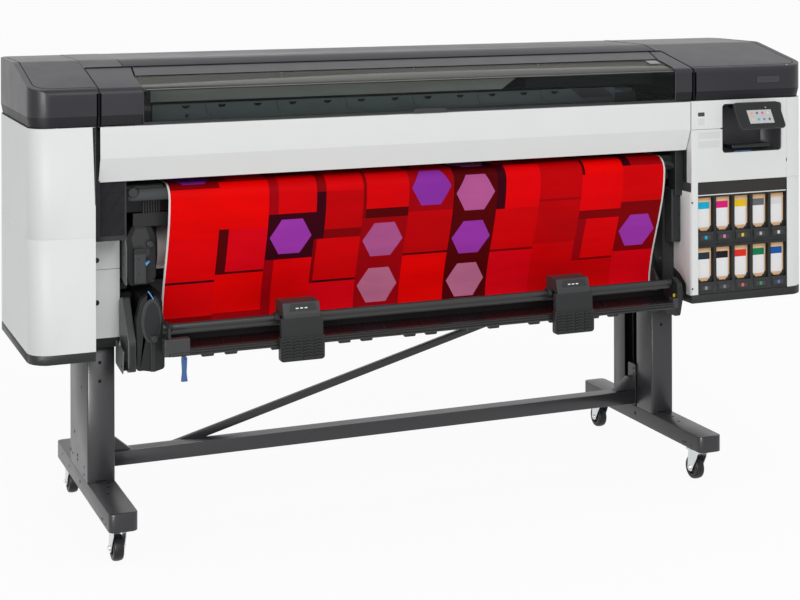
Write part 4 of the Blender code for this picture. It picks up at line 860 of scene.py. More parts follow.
def rear():
    """Rear cover: bent sheet with vents, an access panel, an inlet, a switch and screws."""
    dress("rear_cover", DARK, soft=0.0012)
    y = REAR.y1
    # painted shade: each vent slot is a black sheet on the cover
    for x0 in (-0.85, -0.45, 0.2, 0.6):
        for row in range(7):
            z = 1.215 - row * 0.018
            slot_shape = rectangle(x0, z, x0 + 0.18, z + 0.006, 0.003)
            slab("rear_vent_shade_%d_%d" % (round((x0 + 1) * 100), row), "y", slot_shape, y - 0.0004, y + 0.0004,
                 BLACK_DEEP, soft=0)
    frame_points = rectangle(-0.52, 0.64, -0.12, 0.98, 0.012)
    slab("rear_access_panel", "y", frame_points, y - 0.001, y + 0.0022, DARK, soft=0.001)
    for x in (-0.5, -0.14):
        for z in (0.66, 0.96):
            screw("rear_panel_screw_%d_%d" % (round(x * -100), round(z * 100)), "y", (x, y + 0.0022, z), 1,
                  "printer_frame", 0.004)
    block("power_inlet_rim", (0.62, y - 0.001, 0.64), (0.72, y + 0.004, 0.71), BLACK, soft=0.0015)
    block("power_inlet_recess", (0.636, y + 0.0035, 0.652), (0.682, y + 0.0046, 0.698), BLACK_DEEP,
          soft=0.0005)
    for index in range(3):
        x = 0.648 + index * 0.011
        block("inlet_pin_%d" % index, (x - 0.001, y + 0.004, 0.668), (x + 0.001, y + 0.0075, 0.682), STEEL,
              soft=0.0003)
    block("power_switch", (0.692, y + 0.003, 0.66), (0.71, y + 0.007, 0.692), BLACK, soft=0.0012)
    for x in (-0.9, -0.3, 0.3, 0.8):
        for z in (0.6, 1.3):
            screw("rear_screw_%d_%d" % (round((x + 1) * 10), round(z * 10)), "y", (x, y, z), 1,
                  "printer_frame")


# ---------------------------------------------------------------- camera, floor and light
def studio():
    scene = bpy.context.scene
    scene.view_settings.view_transform = "Standard"
    lens = bpy.data.cameras.new("camera")
    lens.sensor_width = 36.0
    lens.lens = 75.15
    lens.shift_y = -0.44
    lens.clip_end = 300
    camera = bpy.data.objects.new("camera", lens)
    camera.location = (-2.1034, -4.983, 1.734)
    camera.rotation_euler = (pi / 2, radians(0.15), radians(-22.2))
    scene.collection.objects.link(camera)
    scene.camera = camera

    shape = bmesh.new()
    bmesh.ops.create_grid(shape, x_segments=8, y_segments=8, size=90)
    mesh = bpy.data.meshes.new("floor")
    shape.to_mesh(mesh)
    shape.free()
    floor = bpy.data.objects.new("floor", mesh)
    scene.collection.objects.link(floor)
    mesh.materials.append(floor_material())

    world = bpy.data.worlds.new("studio")
    scene.world = world
    world.use_nodes = True
    nodes = world.node_tree.nodes
    link = world.node_tree.links.new
    back = nodes["Background"]
    socket(back, "Color", PURE_WHITE)
    socket(back, "Strength", WORLD_LIGHT)
    white = add(nodes, "Background", Color=PURE_WHITE, Strength=1.0)
    path = add(nodes, "LightPath")
    either = largest(nodes, link, path.outputs["Is Camera Ray"], path.outputs["Is Glossy Ray"])
    seen = largest(nodes, link, either, path.outputs["Is Transmission Ray"])
    mix = add(nodes, "MixShader")
    link(seen, mix.inputs["Fac"])
    link(back.outputs[0], mix.inputs[1])
    link(white.outputs[0], mix.inputs[2])
    link(mix.outputs[0], nodes["World Output"].inputs["Surface"])

    for name, place, size, power, height, diffuse in LAMPS:
        lamp = bpy.data.lights.new(name, "AREA")
        lamp.size = size
        lamp.energy = power
        holder = bpy.data.objects.new(name, lamp)
        holder.location = place
        holder.visible_diffuse = diffuse
        holder.visible_camera = diffuse
        aim = Vector((0, 0, height)) - Vector(place)
        holder.rotation_euler = aim.to_track_quat("-Z", "Y").to_euler()
        scene.collection.objects.link(holder)


def largest(nodes, link, first, second):
    """The larger of two values."""
    node = add(nodes, "Math", "MAXIMUM")
    link(first, node.inputs[0])
    link(second, node.inputs[1])
    return node.outputs[0]


PURE_WHITE = (1.0, 1.0, 1.0, 1.0)
WORLD_LIGHT = 0.58
# name, place, size, power, height of the point it faces, and whether it lights diffusely. The last
# one shows in reflections only.
LAMPS = (("key", (-0.6, -5.4, 4.4), 3.4, 120, 0.7, True), ("side", (-5.2, -1.0, 3.2), 3.0, 6, 0.7, True),
         ("corner_gloss", (-4.4, -4.9, 1.7), 2.6, 430, 1.2, False))


def floor_material():
    """White to the camera and in reflections, with the object's soft shadow kept."""
    material, nodes, link, shader = fresh("floor_white")
    socket(shader, "Roughness", 0.8)
    socket(shader, "Specular IOR Level", 0.1)
    noise = add(nodes, "TexNoise", Scale=2.0)
    tone = ramp(nodes, link, noise.outputs["Fac"], (0.0, (0.9, 0.9, 0.9)), (1.0, (0.93, 0.93, 0.93)))
    link(tone, shader.inputs["Base Color"])
    glow = add(nodes, "Emission", Color=PURE_WHITE, Strength=1.0)
    path = add(nodes, "LightPath")
    either = largest(nodes, link, path.outputs["Is Camera Ray"], path.outputs["Is Glossy Ray"])
    seen = add(nodes, "Math", "MULTIPLY")
    socket(seen, 1, 0.93)
    link(either, seen.inputs[0])
    mix = add(nodes, "MixShader")
    link(seen.outputs[0], mix.inputs["Fac"])
    link(shader.outputs[0], mix.inputs[1])
    link(glow.outputs[0], mix.inputs[2])
    link(mix.outputs[0], nodes["Material Output"].inputs["Surface"])
    return material


# ---------------------------------------------------------------- printed sheet and rolls
def sheet_path():
    """The media's line (y, z) from the supply roll, over the roller, down in front of the stand."""
    supply_y = SUPPLY.cy
    supply_z = SUPPLY.cz
    supply_radius = (SUPPLY.y1 - SUPPLY.y0) / 2
    roller_y = ROLLER.cy
    roller_z = ROLLER.cz
    wrap = (ROLLER.y1 - ROLLER.y0) / 2 + 0.0012
    points = [(supply_y + supply_radius, supply_z)]
    points.append((roller_y + wrap, roller_z))
    for step in range(1, 6):
        turn = pi / 2 * step / 6
        points.append((roller_y + wrap * cos(turn), roller_z + wrap * sin(turn)))
    level = roller_z + wrap
    bend = 0.046
    bulge = PAPER.y0
    points.append((roller_y, level))
    points.append((bulge + bend, level))
    for step in range(1, 9):
        turn = pi / 2 * step / 8
        points.append((bulge + bend - bend * sin(turn), level - bend + bend * cos(turn)))
    low_y = TAKE_UP.cy - 0.031
    low_z = PAPER.z0
    for step in range(1, 13):
        share = step / 12
        ease = share * share * (3 - 2 * share)
        points.append((bulge + (low_y - bulge) * ease, level - bend + (low_z - level + bend) * share))
    return points


PRINT_BORDER = 0.006
RED_FACES = ((0.9, 0.0, 0.002), (0.76, 0.0, 0.002), (0.86, 0.0, 0.008), (0.6, 0.0, 0.002), (0.95, 0.0, 0.0))
RED_SIDES = ((0.26, 0.0, 0.002), (0.1, 0.0, 0.001), (0.4, 0.0, 0.004), (0.045, 0.0, 0.006))
HEXAGONS = ((0.4, 0.045, 0.48), (0.3, 0.035, 0.42), (0.52, 0.11, 0.33), (0.62, 0.18, 0.33))
PAPER_WHITE = (0.85, 0.85, 0.84)


def print_tiles(width, length):
    """Rows of blocks seen from the front: each has a face, a shaded side and, at some, a hexagon."""
    dice = random.Random(7)
    tiles = []
    low_u = PRINT_BORDER
    high_u = width - PRINT_BORDER
    columns = 11
    rows = 6
    height = (length - PRINT_BORDER) / rows
    for column in range(columns):
        u0 = low_u + (high_u - low_u) * column / columns
        u1 = low_u + (high_u - low_u) * (column + 1) / columns
        shift = dice.uniform(-0.32, 0.32) * height
        levels = [PRINT_BORDER] + [PRINT_BORDER + height * row + shift for row in range(1, rows)] + [length]
        for v0, v1 in zip(levels, levels[1:]):
            tiles.append({"low": (u0, v0), "high": (u1, v1), "side": dice.choice((0.0, 0.0, 0.07, 0.2)),
                         "foot": dice.choice((0.0, 0.05, 0.05, 0.2)), "face": dice.choice(RED_FACES),
                         "shade": dice.choice(RED_SIDES), "under": dice.choice(RED_SIDES),
                         "hexagon": dice.choice(HEXAGONS) if dice.random() < 0.26 else None})
    return tiles


def tile_colour(tile, u, v):
    """The print's colour at a place inside one tile."""
    width = tile["high"][0] - tile["low"][0]
    height = tile["high"][1] - tile["low"][1]
    across = (u - tile["low"][0]) / width
    up = (v - tile["low"][1]) / height
    if tile["hexagon"]:
        du = abs(u - (tile["low"][0] + tile["high"][0]) / 2)
        dv = abs(v - (tile["low"][1] + tile["high"][1]) / 2)
        reach = min(width, height) * 0.44
        if max(du * 0.866 + dv * 0.5, dv) < reach * 0.866:
            return tile["hexagon"]
        return tile["shade"]
    if across < tile["side"]:
        return tile["shade"]
    if up < tile["foot"]:
        return tile["under"]
    return tile["face"]


def cut_faces(shape, faces, point, normal):
    """Split some faces along a line, so that a colour edge falls on a mesh edge."""
    faces = [face for face in faces if face.is_valid]
    edges = list({edge for face in faces for edge in face.edges})
    verts = list({vert for face in faces for vert in face.verts})
    bmesh.ops.bisect_plane(shape, geom=verts + edges + faces, plane_co=point, plane_no=normal)


def printed_sheet():
    """Paper with a made-up print: red blocks with shaded sides, and violet hexagons."""
    line = sheet_path()
    marks = [0.0]
    for a, b in zip(line, line[1:]):
        marks.append(marks[-1] + dist(a, b))
    length = marks[-1]
    width = PAPER.x1 - PAPER.x0
    tiles = print_tiles(width, length)

    shape = bmesh.new()
    corners = [shape.verts.new((u, v, 0)) for u, v in ((0, 0), (width, 0), (width, length), (0, length))]
    shape.faces.new(corners)
    for u in sorted({tile["low"][0] for tile in tiles} | {tile["high"][0] for tile in tiles}):
        cut_faces(shape, shape.faces[:], (u, 0, 0), (1, 0, 0))
    cut_faces(shape, shape.faces[:], (0, PRINT_BORDER, 0), (0, 1, 0))
    for tile in tiles:
        column = [face for face in shape.faces
                  if tile["low"][0] < face.calc_center_median().x < tile["high"][0]]
        if tile["low"][1] > PRINT_BORDER:
            cut_faces(shape, column, (0, tile["low"][1], 0), (0, 1, 0))
    for tile in tiles:
        u0, v0 = tile["low"]
        u1, v1 = tile["high"]
        centre = ((u0 + u1) / 2, (v0 + v1) / 2)

        def inside():
            return [face for face in shape.faces if u0 < face.calc_center_median().x < u1
                    and v0 < face.calc_center_median().y < v1]

        if tile["hexagon"]:
            reach = min(u1 - u0, v1 - v0) * 0.44 * 0.866
            for step in range(6):
                turn = radians(60 * step + 30)
                normal = (cos(turn), sin(turn), 0)
                point = (centre[0] + normal[0] * reach, centre[1] + normal[1] * reach, 0)
                cut_faces(shape, inside(), point, normal)
            continue
        cut_faces(shape, inside(), (u0 + (u1 - u0) * tile["side"], 0, 0), (1, 0, 0))
        cut_faces(shape, inside(), (0, v0 + (v1 - v0) * tile["foot"], 0), (0, 1, 0))
    for mark in marks[1:-1]:
        cut_faces(shape, shape.faces[:], (0, length - mark, 0), (0, 1, 0))
    steps = 24
    for step in range(1, steps):
        cut_faces(shape, shape.faces[:], (width * step / steps, 0, 0), (1, 0, 0))
    bmesh.ops.remove_doubles(shape, verts=shape.verts[:], dist=0.0001)
    bmesh.ops.dissolve_degenerate(shape, edges=shape.edges[:], dist=0.0001)

    ink = shape.loops.layers.float_color.new("ink")
    for face in shape.faces:
        u, v = face.calc_center_median().xy
        colour = PAPER_WHITE
        for tile in tiles:
            if tile["low"][0] < u < tile["high"][0] and tile["low"][1] < v < tile["high"][1]:
                colour = tile_colour(tile, u, v)
        for loop in face.loops:
            loop[ink] = (*colour, 1.0)
    for vertex in shape.verts:
        distance = length - vertex.co.y
        index = max(i for i, mark in enumerate(marks[:-1]) if mark <= distance + 1e-6)
        share = (distance - marks[index]) / (marks[index + 1] - marks[index])
        here, after = line[index], line[index + 1]
        vertex.co = Vector((PAPER.x0 + vertex.co.x, here[0] + (after[0] - here[0]) * share,
                           here[1] + (after[1] - here[1]) * share))
    mesh = bpy.data.meshes.new("printed_sheet")
    bmesh.ops.recalc_face_normals(shape, faces=shape.faces[:])
    shape.to_mesh(mesh)
    shape.free()
    mesh.shade_smooth()
    piece = bpy.data.objects.new("printed_sheet", mesh)
    bpy.context.scene.collection.objects.link(piece)
    mesh.materials.append(print_material())
    thick = piece.modifiers.new("thickness", "SOLIDIFY")
    thick.thickness = 0.0003
    thick.offset = 0
    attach(piece, "printer_frame")
    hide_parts("paper_sheet")
    return piece


def print_material():
    """Satin photo paper: the ink layer's colour, slightly uneven, with a soft sheen."""
    material, nodes, link, shader = fresh("printed_sheet")
    socket(shader, "Specular IOR Level", 0.04)
    ink = add(nodes, "Attribute")
    ink.attribute_name = "ink"
    cloud = add(nodes, "TexNoise", Scale=7.0, Detail=5.0)
    tone = ramp(nodes, link, cloud.outputs["Fac"], (0.3, (0.72, 0.72, 0.72)), (0.7, (1.0, 1.0, 1.0)))
    blend = add(nodes, "MixRGB", Fac=0.55)
    blend.blend_type = "MULTIPLY"
    link(ink.outputs["Color"], blend.inputs["Color1"])
    link(tone, blend.inputs["Color2"])
    link(blend.outputs["Color"], shader.inputs["Base Color"])
    fine = add(nodes, "TexNoise", Scale=1200.0)
    roughen(nodes, link, shader, cloud.outputs["Fac"], 0.42, 0.55, fine.outputs["Fac"], 0.03, 0.0003)
    return material


# ---------------------------------------------------------------- right cabinet
POCKET_X0 = RIGHT_FRONT.x0 + 0.119
POCKET_X1 = RIGHT_FRONT.x0 + 0.351
POCKET_Z0 = CAP_BOTTOM - 0.175
POCKET_Z1 = CAP_BOTTOM - 0.014
POST = 0.0245
SILL = BAY.z1 + 0.001


def sticker(name, x0, z0, x1, z1, material=None, y=None, radius=0.002, thick=PROUD, body="printer_frame"):
    """A thin blank plate or label on a front face."""
    face = FRONT if y is None else y
    return slab(name, "y", rectangle(x0, z0, x1, z1, radius), face - thick, face + 0.0008,
                material or STICKER, body=body, slot="white_cover", soft=0.0001, segments=1)


def right_front():
    """White front sheet with the control pocket, its dark tub, pull bar and seams."""
    x0, x1 = RIGHT_FRONT.x0, RIGHT_FRONT.x1
    low, high = RIGHT_FRONT.z0, RIGHT_FRONT.z1
    outline = [(x0, low), (x0 + POST, low), (x0 + POST, SILL), (x1, SILL), (x1, high), (x0, high)]
    sheet = slab("right_front_sheet", "y", outline, FRONT, FRONT + 0.012, WHITE, soft=0.001,
                 replaces=["right_front_cover"])
    hole = rectangle(POCKET_X0, POCKET_Z0, POCKET_X1, POCKET_Z1, 0.012, 6)
    carve(sheet, cutter("y", hole, FRONT - 0.02, FRONT + 0.03))
    block("right_front_return", (x0, FRONT + 0.01, low), (x0 + 0.003, FRONT + 0.03, high), WHITE,
          soft=0.0006)

    shape = bmesh.new()
    rings = []
    for depth, inset, drop, radius in ((0.0016, 0.0006, 0.0, 0.0115), (0.006, 0.002, 0.001, 0.012),
                                       (0.03, 0.008, 0.006, 0.014), (0.062, 0.022, 0.018, 0.018),
                                       (0.071, 0.032, 0.026, 0.016)):
        outline = rectangle(POCKET_X0 + inset, POCKET_Z0 + drop * 0.7 + 0.0006, POCKET_X1 - inset * 1.1,
                            POCKET_Z1 - drop * 0.5 - 0.0006, radius, 6)
        rings.append([shape.verts.new((a, FRONT + depth, b)) for a, b in outline])
    for near, far in zip(rings, rings[1:]):
        for index in range(len(near)):
            after = (index + 1) % len(near)
            shape.faces.new((near[index], near[after], far[after], far[index]))
    shape.faces.new(rings[-1])
    tub = settle("pocket_tub", shape, POCKET_GREY)
    wall = tub.modifiers.new("wall", "SOLIDIFY")
    wall.thickness = 0.0016
    wall.offset = 1
    low = POCKET_Z0 + 0.012
    bar = rounded([(FRONT + 0.003, low, 0.004), (FRONT + 0.019, low + 0.001, 0.005),
                  (FRONT + 0.019, low + 0.013, 0.004), (FRONT + 0.006, low + 0.0145, 0.0045),
                  (FRONT + 0.003, low + 0.01, 0.004)])
    slab("pocket_pull_bar", "x", bar, POCKET_X0 + 0.04, POCKET_X1 - 0.044, PANEL_SHELL, soft=0.0025,
         segments=4)
    for side, x in (("left", POCKET_X0 + 0.042), ("right", POCKET_X1 - 0.056)):
        block("pull_bar_root_" + side, (x, FRONT + 0.012, low + 0.001),
              (x + 0.01, FRONT + 0.06, low + 0.011), PANEL_SHELL, soft=0.002)
    block("pocket_blue_line", (POCKET_X0 + 0.05, FRONT + 0.0035, POCKET_Z0 + 0.0005),
          (POCKET_X0 + 0.116, FRONT + 0.012, POCKET_Z0 + 0.004), BLUE, soft=0.0006)

    seam_z = POCKET_Z1 - 0.08
    slab("right_cover_seam", "y", rectangle(x0 + 0.002, seam_z - 0.0006, POCKET_X0 - 0.009,
         seam_z + 0.0006), FRONT - 0.0002, FRONT + 0.0005, GREY, slot="white_cover", soft=0)
    # painted shade: black sheets for the slit at the seam's end and the small slot on the pillar
    slit = rectangle(POCKET_X0 - 0.008, seam_z - 0.0022, POCKET_X0 + 0.001, seam_z + 0.0022, 0.001)
    slab("pocket_slit", "y", slit, FRONT - 0.0003, FRONT + 0.0005, BLACK_DEEP, soft=0)
    slot_shape = rectangle(x1 - 0.003, 1.014, x1 - 0.0002, 1.026, 0.001)
    slab("pillar_slot", "y", slot_shape, FRONT - 0.0003, FRONT + 0.0005, BLACK_DEEP, soft=0)

    left = RIGHT_FRONT.x0
    sticker("blank_sticker_status", left + 0.025, 1.178, left + 0.05, 1.191, GREY)
    sticker("blank_sticker_square", left + 0.026, 1.149, left + 0.05, 1.171, STICKER)
    sticker("blank_sticker_upper", left + 0.025, 1.104, left + 0.108, 1.126)
    sticker("blank_sticker_lower", left + 0.025, 1.073, left + 0.108, 1.096)
    name = rounded([(left + 0.0255, BAY.z1 - 0.04, 0.001), (x1 - 0.006, BAY.z1 - 0.04, 0.001),
                   (x1 - 0.006, BAY.z1 - 0.001, 0.005), (left + 0.0255, BAY.z1 - 0.001, 0.005)])
    slab("blank_name_strip", "y", name, FRONT - 0.0004, BAY.y0 + 0.001, STRIP, segments=2)
    rim = rectangle(left + 0.025, BAY.z1 - 0.0435, x1 - 0.0045, BAY.z1 - 0.0402, 0.0006)
    slab("name_strip_rim", "y", rim, FRONT - 0.0002, BAY.y0 + 0.001, WHITE, soft=0.0003)
    for index, z in enumerate((BAY.z1 - 0.064, BAY.z0 + 0.021)):
        screw("post_screw_%d" % index, "y", (left - 0.001 + 0.0035, FRONT, z), -1, "printer_frame", 0.0032,
              GREY)
    seam = rectangle(RIGHT_SIDE.x1 - 0.0805, SILL - 0.0012 + 0.002, RIGHT_SIDE.x1 - 0.031, SILL + 0.0024)
    slab("pillar_seam", "y", seam, FRONT - 0.0002, FRONT + 0.0004, WHITE_SHADE, soft=0)


def control_panel():
    """Touch panel: a softly edged shell, a sunk glass and a screen with plain coloured marks."""
    turn = radians(30)
    normal = Vector((0, -cos(turn), sin(turn)))
    down = Vector((0, -sin(turn), -cos(turn)))
    across = Vector((1, 0, 0))
    length = 0.096
    thick = 0.018
    top = Vector((PANEL.cx + 0.006, FRONT - 0.03, CAP_BOTTOM - 0.007))
    half = (PANEL.x1 - PANEL.x0) / 2

    def put(shape, outline, near, far):
        """A plate on the panel's face; (a, b) run right and down from the middle of the top edge."""
        rings = [[shape.verts.new(top + across * a + down * b + normal * level) for a, b in outline]
                 for level in (near, far)]
        shape.faces.new(rings[0])
        shape.faces.new(rings[1][::-1])
        for index in range(len(outline)):
            after = (index + 1) % len(outline)
            shape.faces.new((rings[0][index], rings[0][after], rings[1][after], rings[1][index]))

    shape = bmesh.new()
    body = rectangle(-half, 0.0, half, length, 0.013, 6)
    put(shape, body, -0.0085, 0.0)
    settle("panel_bezel", shape, PANEL_SHELL, body="panel", slot="screen", soft=0.0028, segments=4,
           replaces=["control_panel"])
    shape = bmesh.new()
    put(shape, rectangle(-half + 0.004, 0.004, half - 0.004, length - 0.004, 0.011, 6), -thick, -0.008)
    settle("panel_back", shape, BLACK, body="panel", soft=0.0025, segments=3)
    shape = bmesh.new()
    put(shape, rectangle(-half + 0.006, 0.006, half - 0.006, length - 0.007, 0.008, 6), -0.001, 0.0004)
    settle("panel_glass", shape, SCREEN_BLACK, body="panel", soft=0.0003, segments=2)
    screen = (-0.047, 0.03, 0.047, 0.078)
    shape = bmesh.new()
    put(shape, rectangle(*screen, 0.0008), 0.0, 0.0006)
    settle("panel_screen", shape, SCREEN_LIT, body="panel")
    tints = ((0.9, 0.35, 0.1), (0.1, 0.12, 0.3), (0.8, 0.05, 0.3), (0.7, 0.72, 0.75), (0.7, 0.62, 0.55),
             (0.02, 0.45, 0.75), (0.05, 0.22, 0.75), (0.1, 0.1, 0.13))
    for index, tint in enumerate(tints):
        a = screen[0] + 0.016 + (index % 4) * 0.021
        b = screen[1] + 0.011 + (index // 4) * 0.023
        shape = bmesh.new()
        put(shape, circle(a, b, 0.0046, 6 if index % 3 == 0 else 20), 0.0005, 0.0008)
        settle("screen_mark_%d" % index, shape, finish("screen_mark_%d" % index, tint, 0.3, vary=0.03),
               body="panel", slot="screen")
    shape = bmesh.new()
    put(shape, circle(0.03, 0.022, 0.0018, 16), 0.0002, 0.0006)
    settle("panel_dot", shape, LABEL, body="panel", slot="screen")
    rear = FRONT + 0.07
    near = [top + down * b - normal * (thick + 0.0006) for b in (0.004, 0.026)]
    arm = [(near[0].y, near[0].z), (near[1].y, near[1].z), (rear, near[1].z + 0.004),
           (rear, near[0].z - 0.002)]
    slab("panel_arm", "x", arm, PANEL.cx - 0.034, PANEL.cx + 0.034, BLACK, soft=0.003, segments=3)


POCKET_GREY = finish("pocket_grey", (0.046, 0.046, 0.052), 0.44, vary=0.1, grain=900, bump=0.08, wear=0.4,
                     specular=0.35)
# painted highlight: the pale colour of the wire along the pane's bend
PANE_BEND_HIGHLIGHT = finish("pane_bend_painted_highlight", (0.62, 0.62, 0.58), 0.3, vary=0.05, grain=300, bump=0.02)
PANE_NOTE = finish("pane_blank_note", (0.24, 0.24, 0.25), 0.35, vary=0.03, grain=300, bump=0.02)
# The strong colour drift here is partly random tone and partly a painted reflection across the glossy strip
STRIP = finish("name_strip_gloss_and_painted_reflection", (0.022, 0.019, 0.018), 0.22, vary=0.35, grain=80, bump=0.01, smudge=0.14,
               specular=0.35)
PANEL_SHELL = finish("panel_shell", (0.014, 0.015, 0.018), 0.36, vary=0.08, grain=900, bump=0.06, wear=0.5,
                     specular=0.3)
SCREEN_LIT = finish("screen_lit", (0.56, 0.56, 0.55), 0.2, vary=0.03, grain=90, bump=0.01)


def label_finish(name, colour):
    return finish(name, colour, 0.45, vary=0.02, grain=700, bump=0.03, specular=0.12)


UPPER_INKS = (
    ("ink_cyan", (0.01, 0.48, 0.76)), ("ink_magenta", (0.83, 0.015, 0.22)),
    ("ink_yellow", (0.93, 0.6, 0.015)), ("ink_grey", (0.15, 0.165, 0.185)),
    ("ink_light", (0.8, 0.81, 0.82)),
)
LOWER_INKS = (
    ("ink_navy", (0.02, 0.04, 0.065)), ("ink_black", (0.012, 0.01, 0.014)),
    ("ink_red", (0.85, 0.035, 0.02)), ("ink_green", (0.005, 0.23, 0.09)),
    ("ink_blue", (0.01, 0.11, 0.42)),
)
TAG_COLOURS = (((0.01, 0.48, 0.76), (0.8, 0.22, 0.38), (0.9, 0.6, 0.03), (0.45, 0.5, 0.52),
               (0.7, 0.73, 0.76)), ((0.3, 0.33, 0.37), (0.22, 0.24, 0.27), (0.8, 0.16, 0.14),
               (0.05, 0.35, 0.17), (0.11, 0.23, 0.6)))


def ink():
    """Socket lattice, latches and tags, and ten board cartridges with their labels."""
    dress("ink_bay", BLACK, soft=0.0008)
    number = 0
    for row, inks in enumerate((UPPER_INKS, LOWER_INKS)):
        for place, (name, colour) in enumerate(inks):
            number += 1
            span = Span("ink_cartridge_%d" % number)
            body = "cartridge_%d" % number
            tag = str(number)
            front = span.y0
            dress("ink_cartridge_%d" % number, CARTON, soft=0.003, segments=3)
            wide = span.x1 - span.x0
            tall = span.z1 - span.z0
            x0 = span.x0 + wide * 0.05
            x1 = span.x1 - wide * 0.13
            z0 = span.z0 + tall * 0.115
            z1 = span.z1 - tall * 0.135
            band = z1 - (z1 - z0) * 0.27
            sticker("label_%s" % tag, x0, z0, x1, z1, LABEL, front, 0.0006, 0.0004, body)
            sticker("label_band_%s" % tag, x0, band, x1, z1, label_finish(name, colour), front - 0.0004,
                    0.0004, 0.0003, body)
            for side, x, sign in (("l", span.x0, 1), ("r", span.x1, -1)):
                notch = [(x - sign * 0.0006, span.z0 - 0.0001), (x + sign * 0.017, span.z0 - 0.0001),
                         (x + sign * 0.014, span.z0 + 0.006), (x + sign * 0.0085, span.z0 + 0.0085),
                         (x + sign * 0.0062, span.z0 + 0.016), (x - sign * 0.0006, span.z0 + 0.019)]
                slab("cartridge_clip_%s_%s" % (tag, side), "y", notch, front - 0.0022, front + 0.004, BLACK,
                     body=body)
            crease = rectangle(span.x0 + 0.002, span.z1 - 0.0085, span.x1 - 0.002, span.z1 - 0.0079)
            slab("carton_crease_%s" % tag, "y", crease, front - 0.0001, front + 0.0004, BOARD_EDGE,
                 body=body, soft=0)

            low = span.z0 - 0.0345
            face = BAY.y0 - 0.003
            tray = rounded([(face, low + 0.0035, 0.0015), (BAY.y0 + 0.001, low + 0.0005, 0),
                           (BAY.y0 + 0.001, span.z0 - 0.0015, 0), (BAY.y0 - 0.0005, span.z0 - 0.0015, 0),
                           (face, span.z0 - 0.009, 0.002)])
            slab("ink_latch_%s" % tag, "x", tray, span.x0 + 0.002, span.x1 - 0.002, LATCH, soft=0.001,
                 segments=2)
            place_x = span.cx - 0.001
            grip = rectangle(place_x - 0.018, low + 0.0095, place_x + 0.018, low + 0.0225, 0.002)
            slab("latch_grip_%s" % tag, "y", grip, face - 0.0003, face + 0.001, GREY, soft=0.0006)
            square = rectangle(place_x - 0.0048, low + 0.0105, place_x + 0.0048, low + 0.0215, 0.0006)
            slab("latch_tag_%s" % tag, "y", square, face - 0.0006, face + 0.0005,
                 label_finish("tag_%s" % tag, TAG_COLOURS[row][place]), slot="black_plastic", soft=0)
    for z in (Span("ink_cartridge_1").z1 + 0.006, Span("ink_cartridge_6").z1 + 0.006):
        rail = rectangle(FRONT + 0.0005, z, FRONT + 0.01, z + 0.004, 0.001)
        slab("bay_rail_%d" % round(z * 1000), "x", rail, BAY.x0 + POST + 0.002, RIGHT_SIDE.x1 - 0.0815,
             BLACK, soft=0.0006)


LATCH = finish("latch_black", (0.022, 0.023, 0.025), 0.48, vary=0.14, grain=420, bump=0.14, wear=0.5,
               specular=0.25)
BOARD_EDGE = finish("board_edge", (0.52, 0.3, 0.14), 0.8, vary=0.08, grain=260, bump=0.15)

# ---------------------------------------------------------------- loading table
TABLE_BASE = BAY.z0 - 0.0275
BAR_Y = FRONT + 0.02
BAR_Z = TABLE_BASE + 0.073


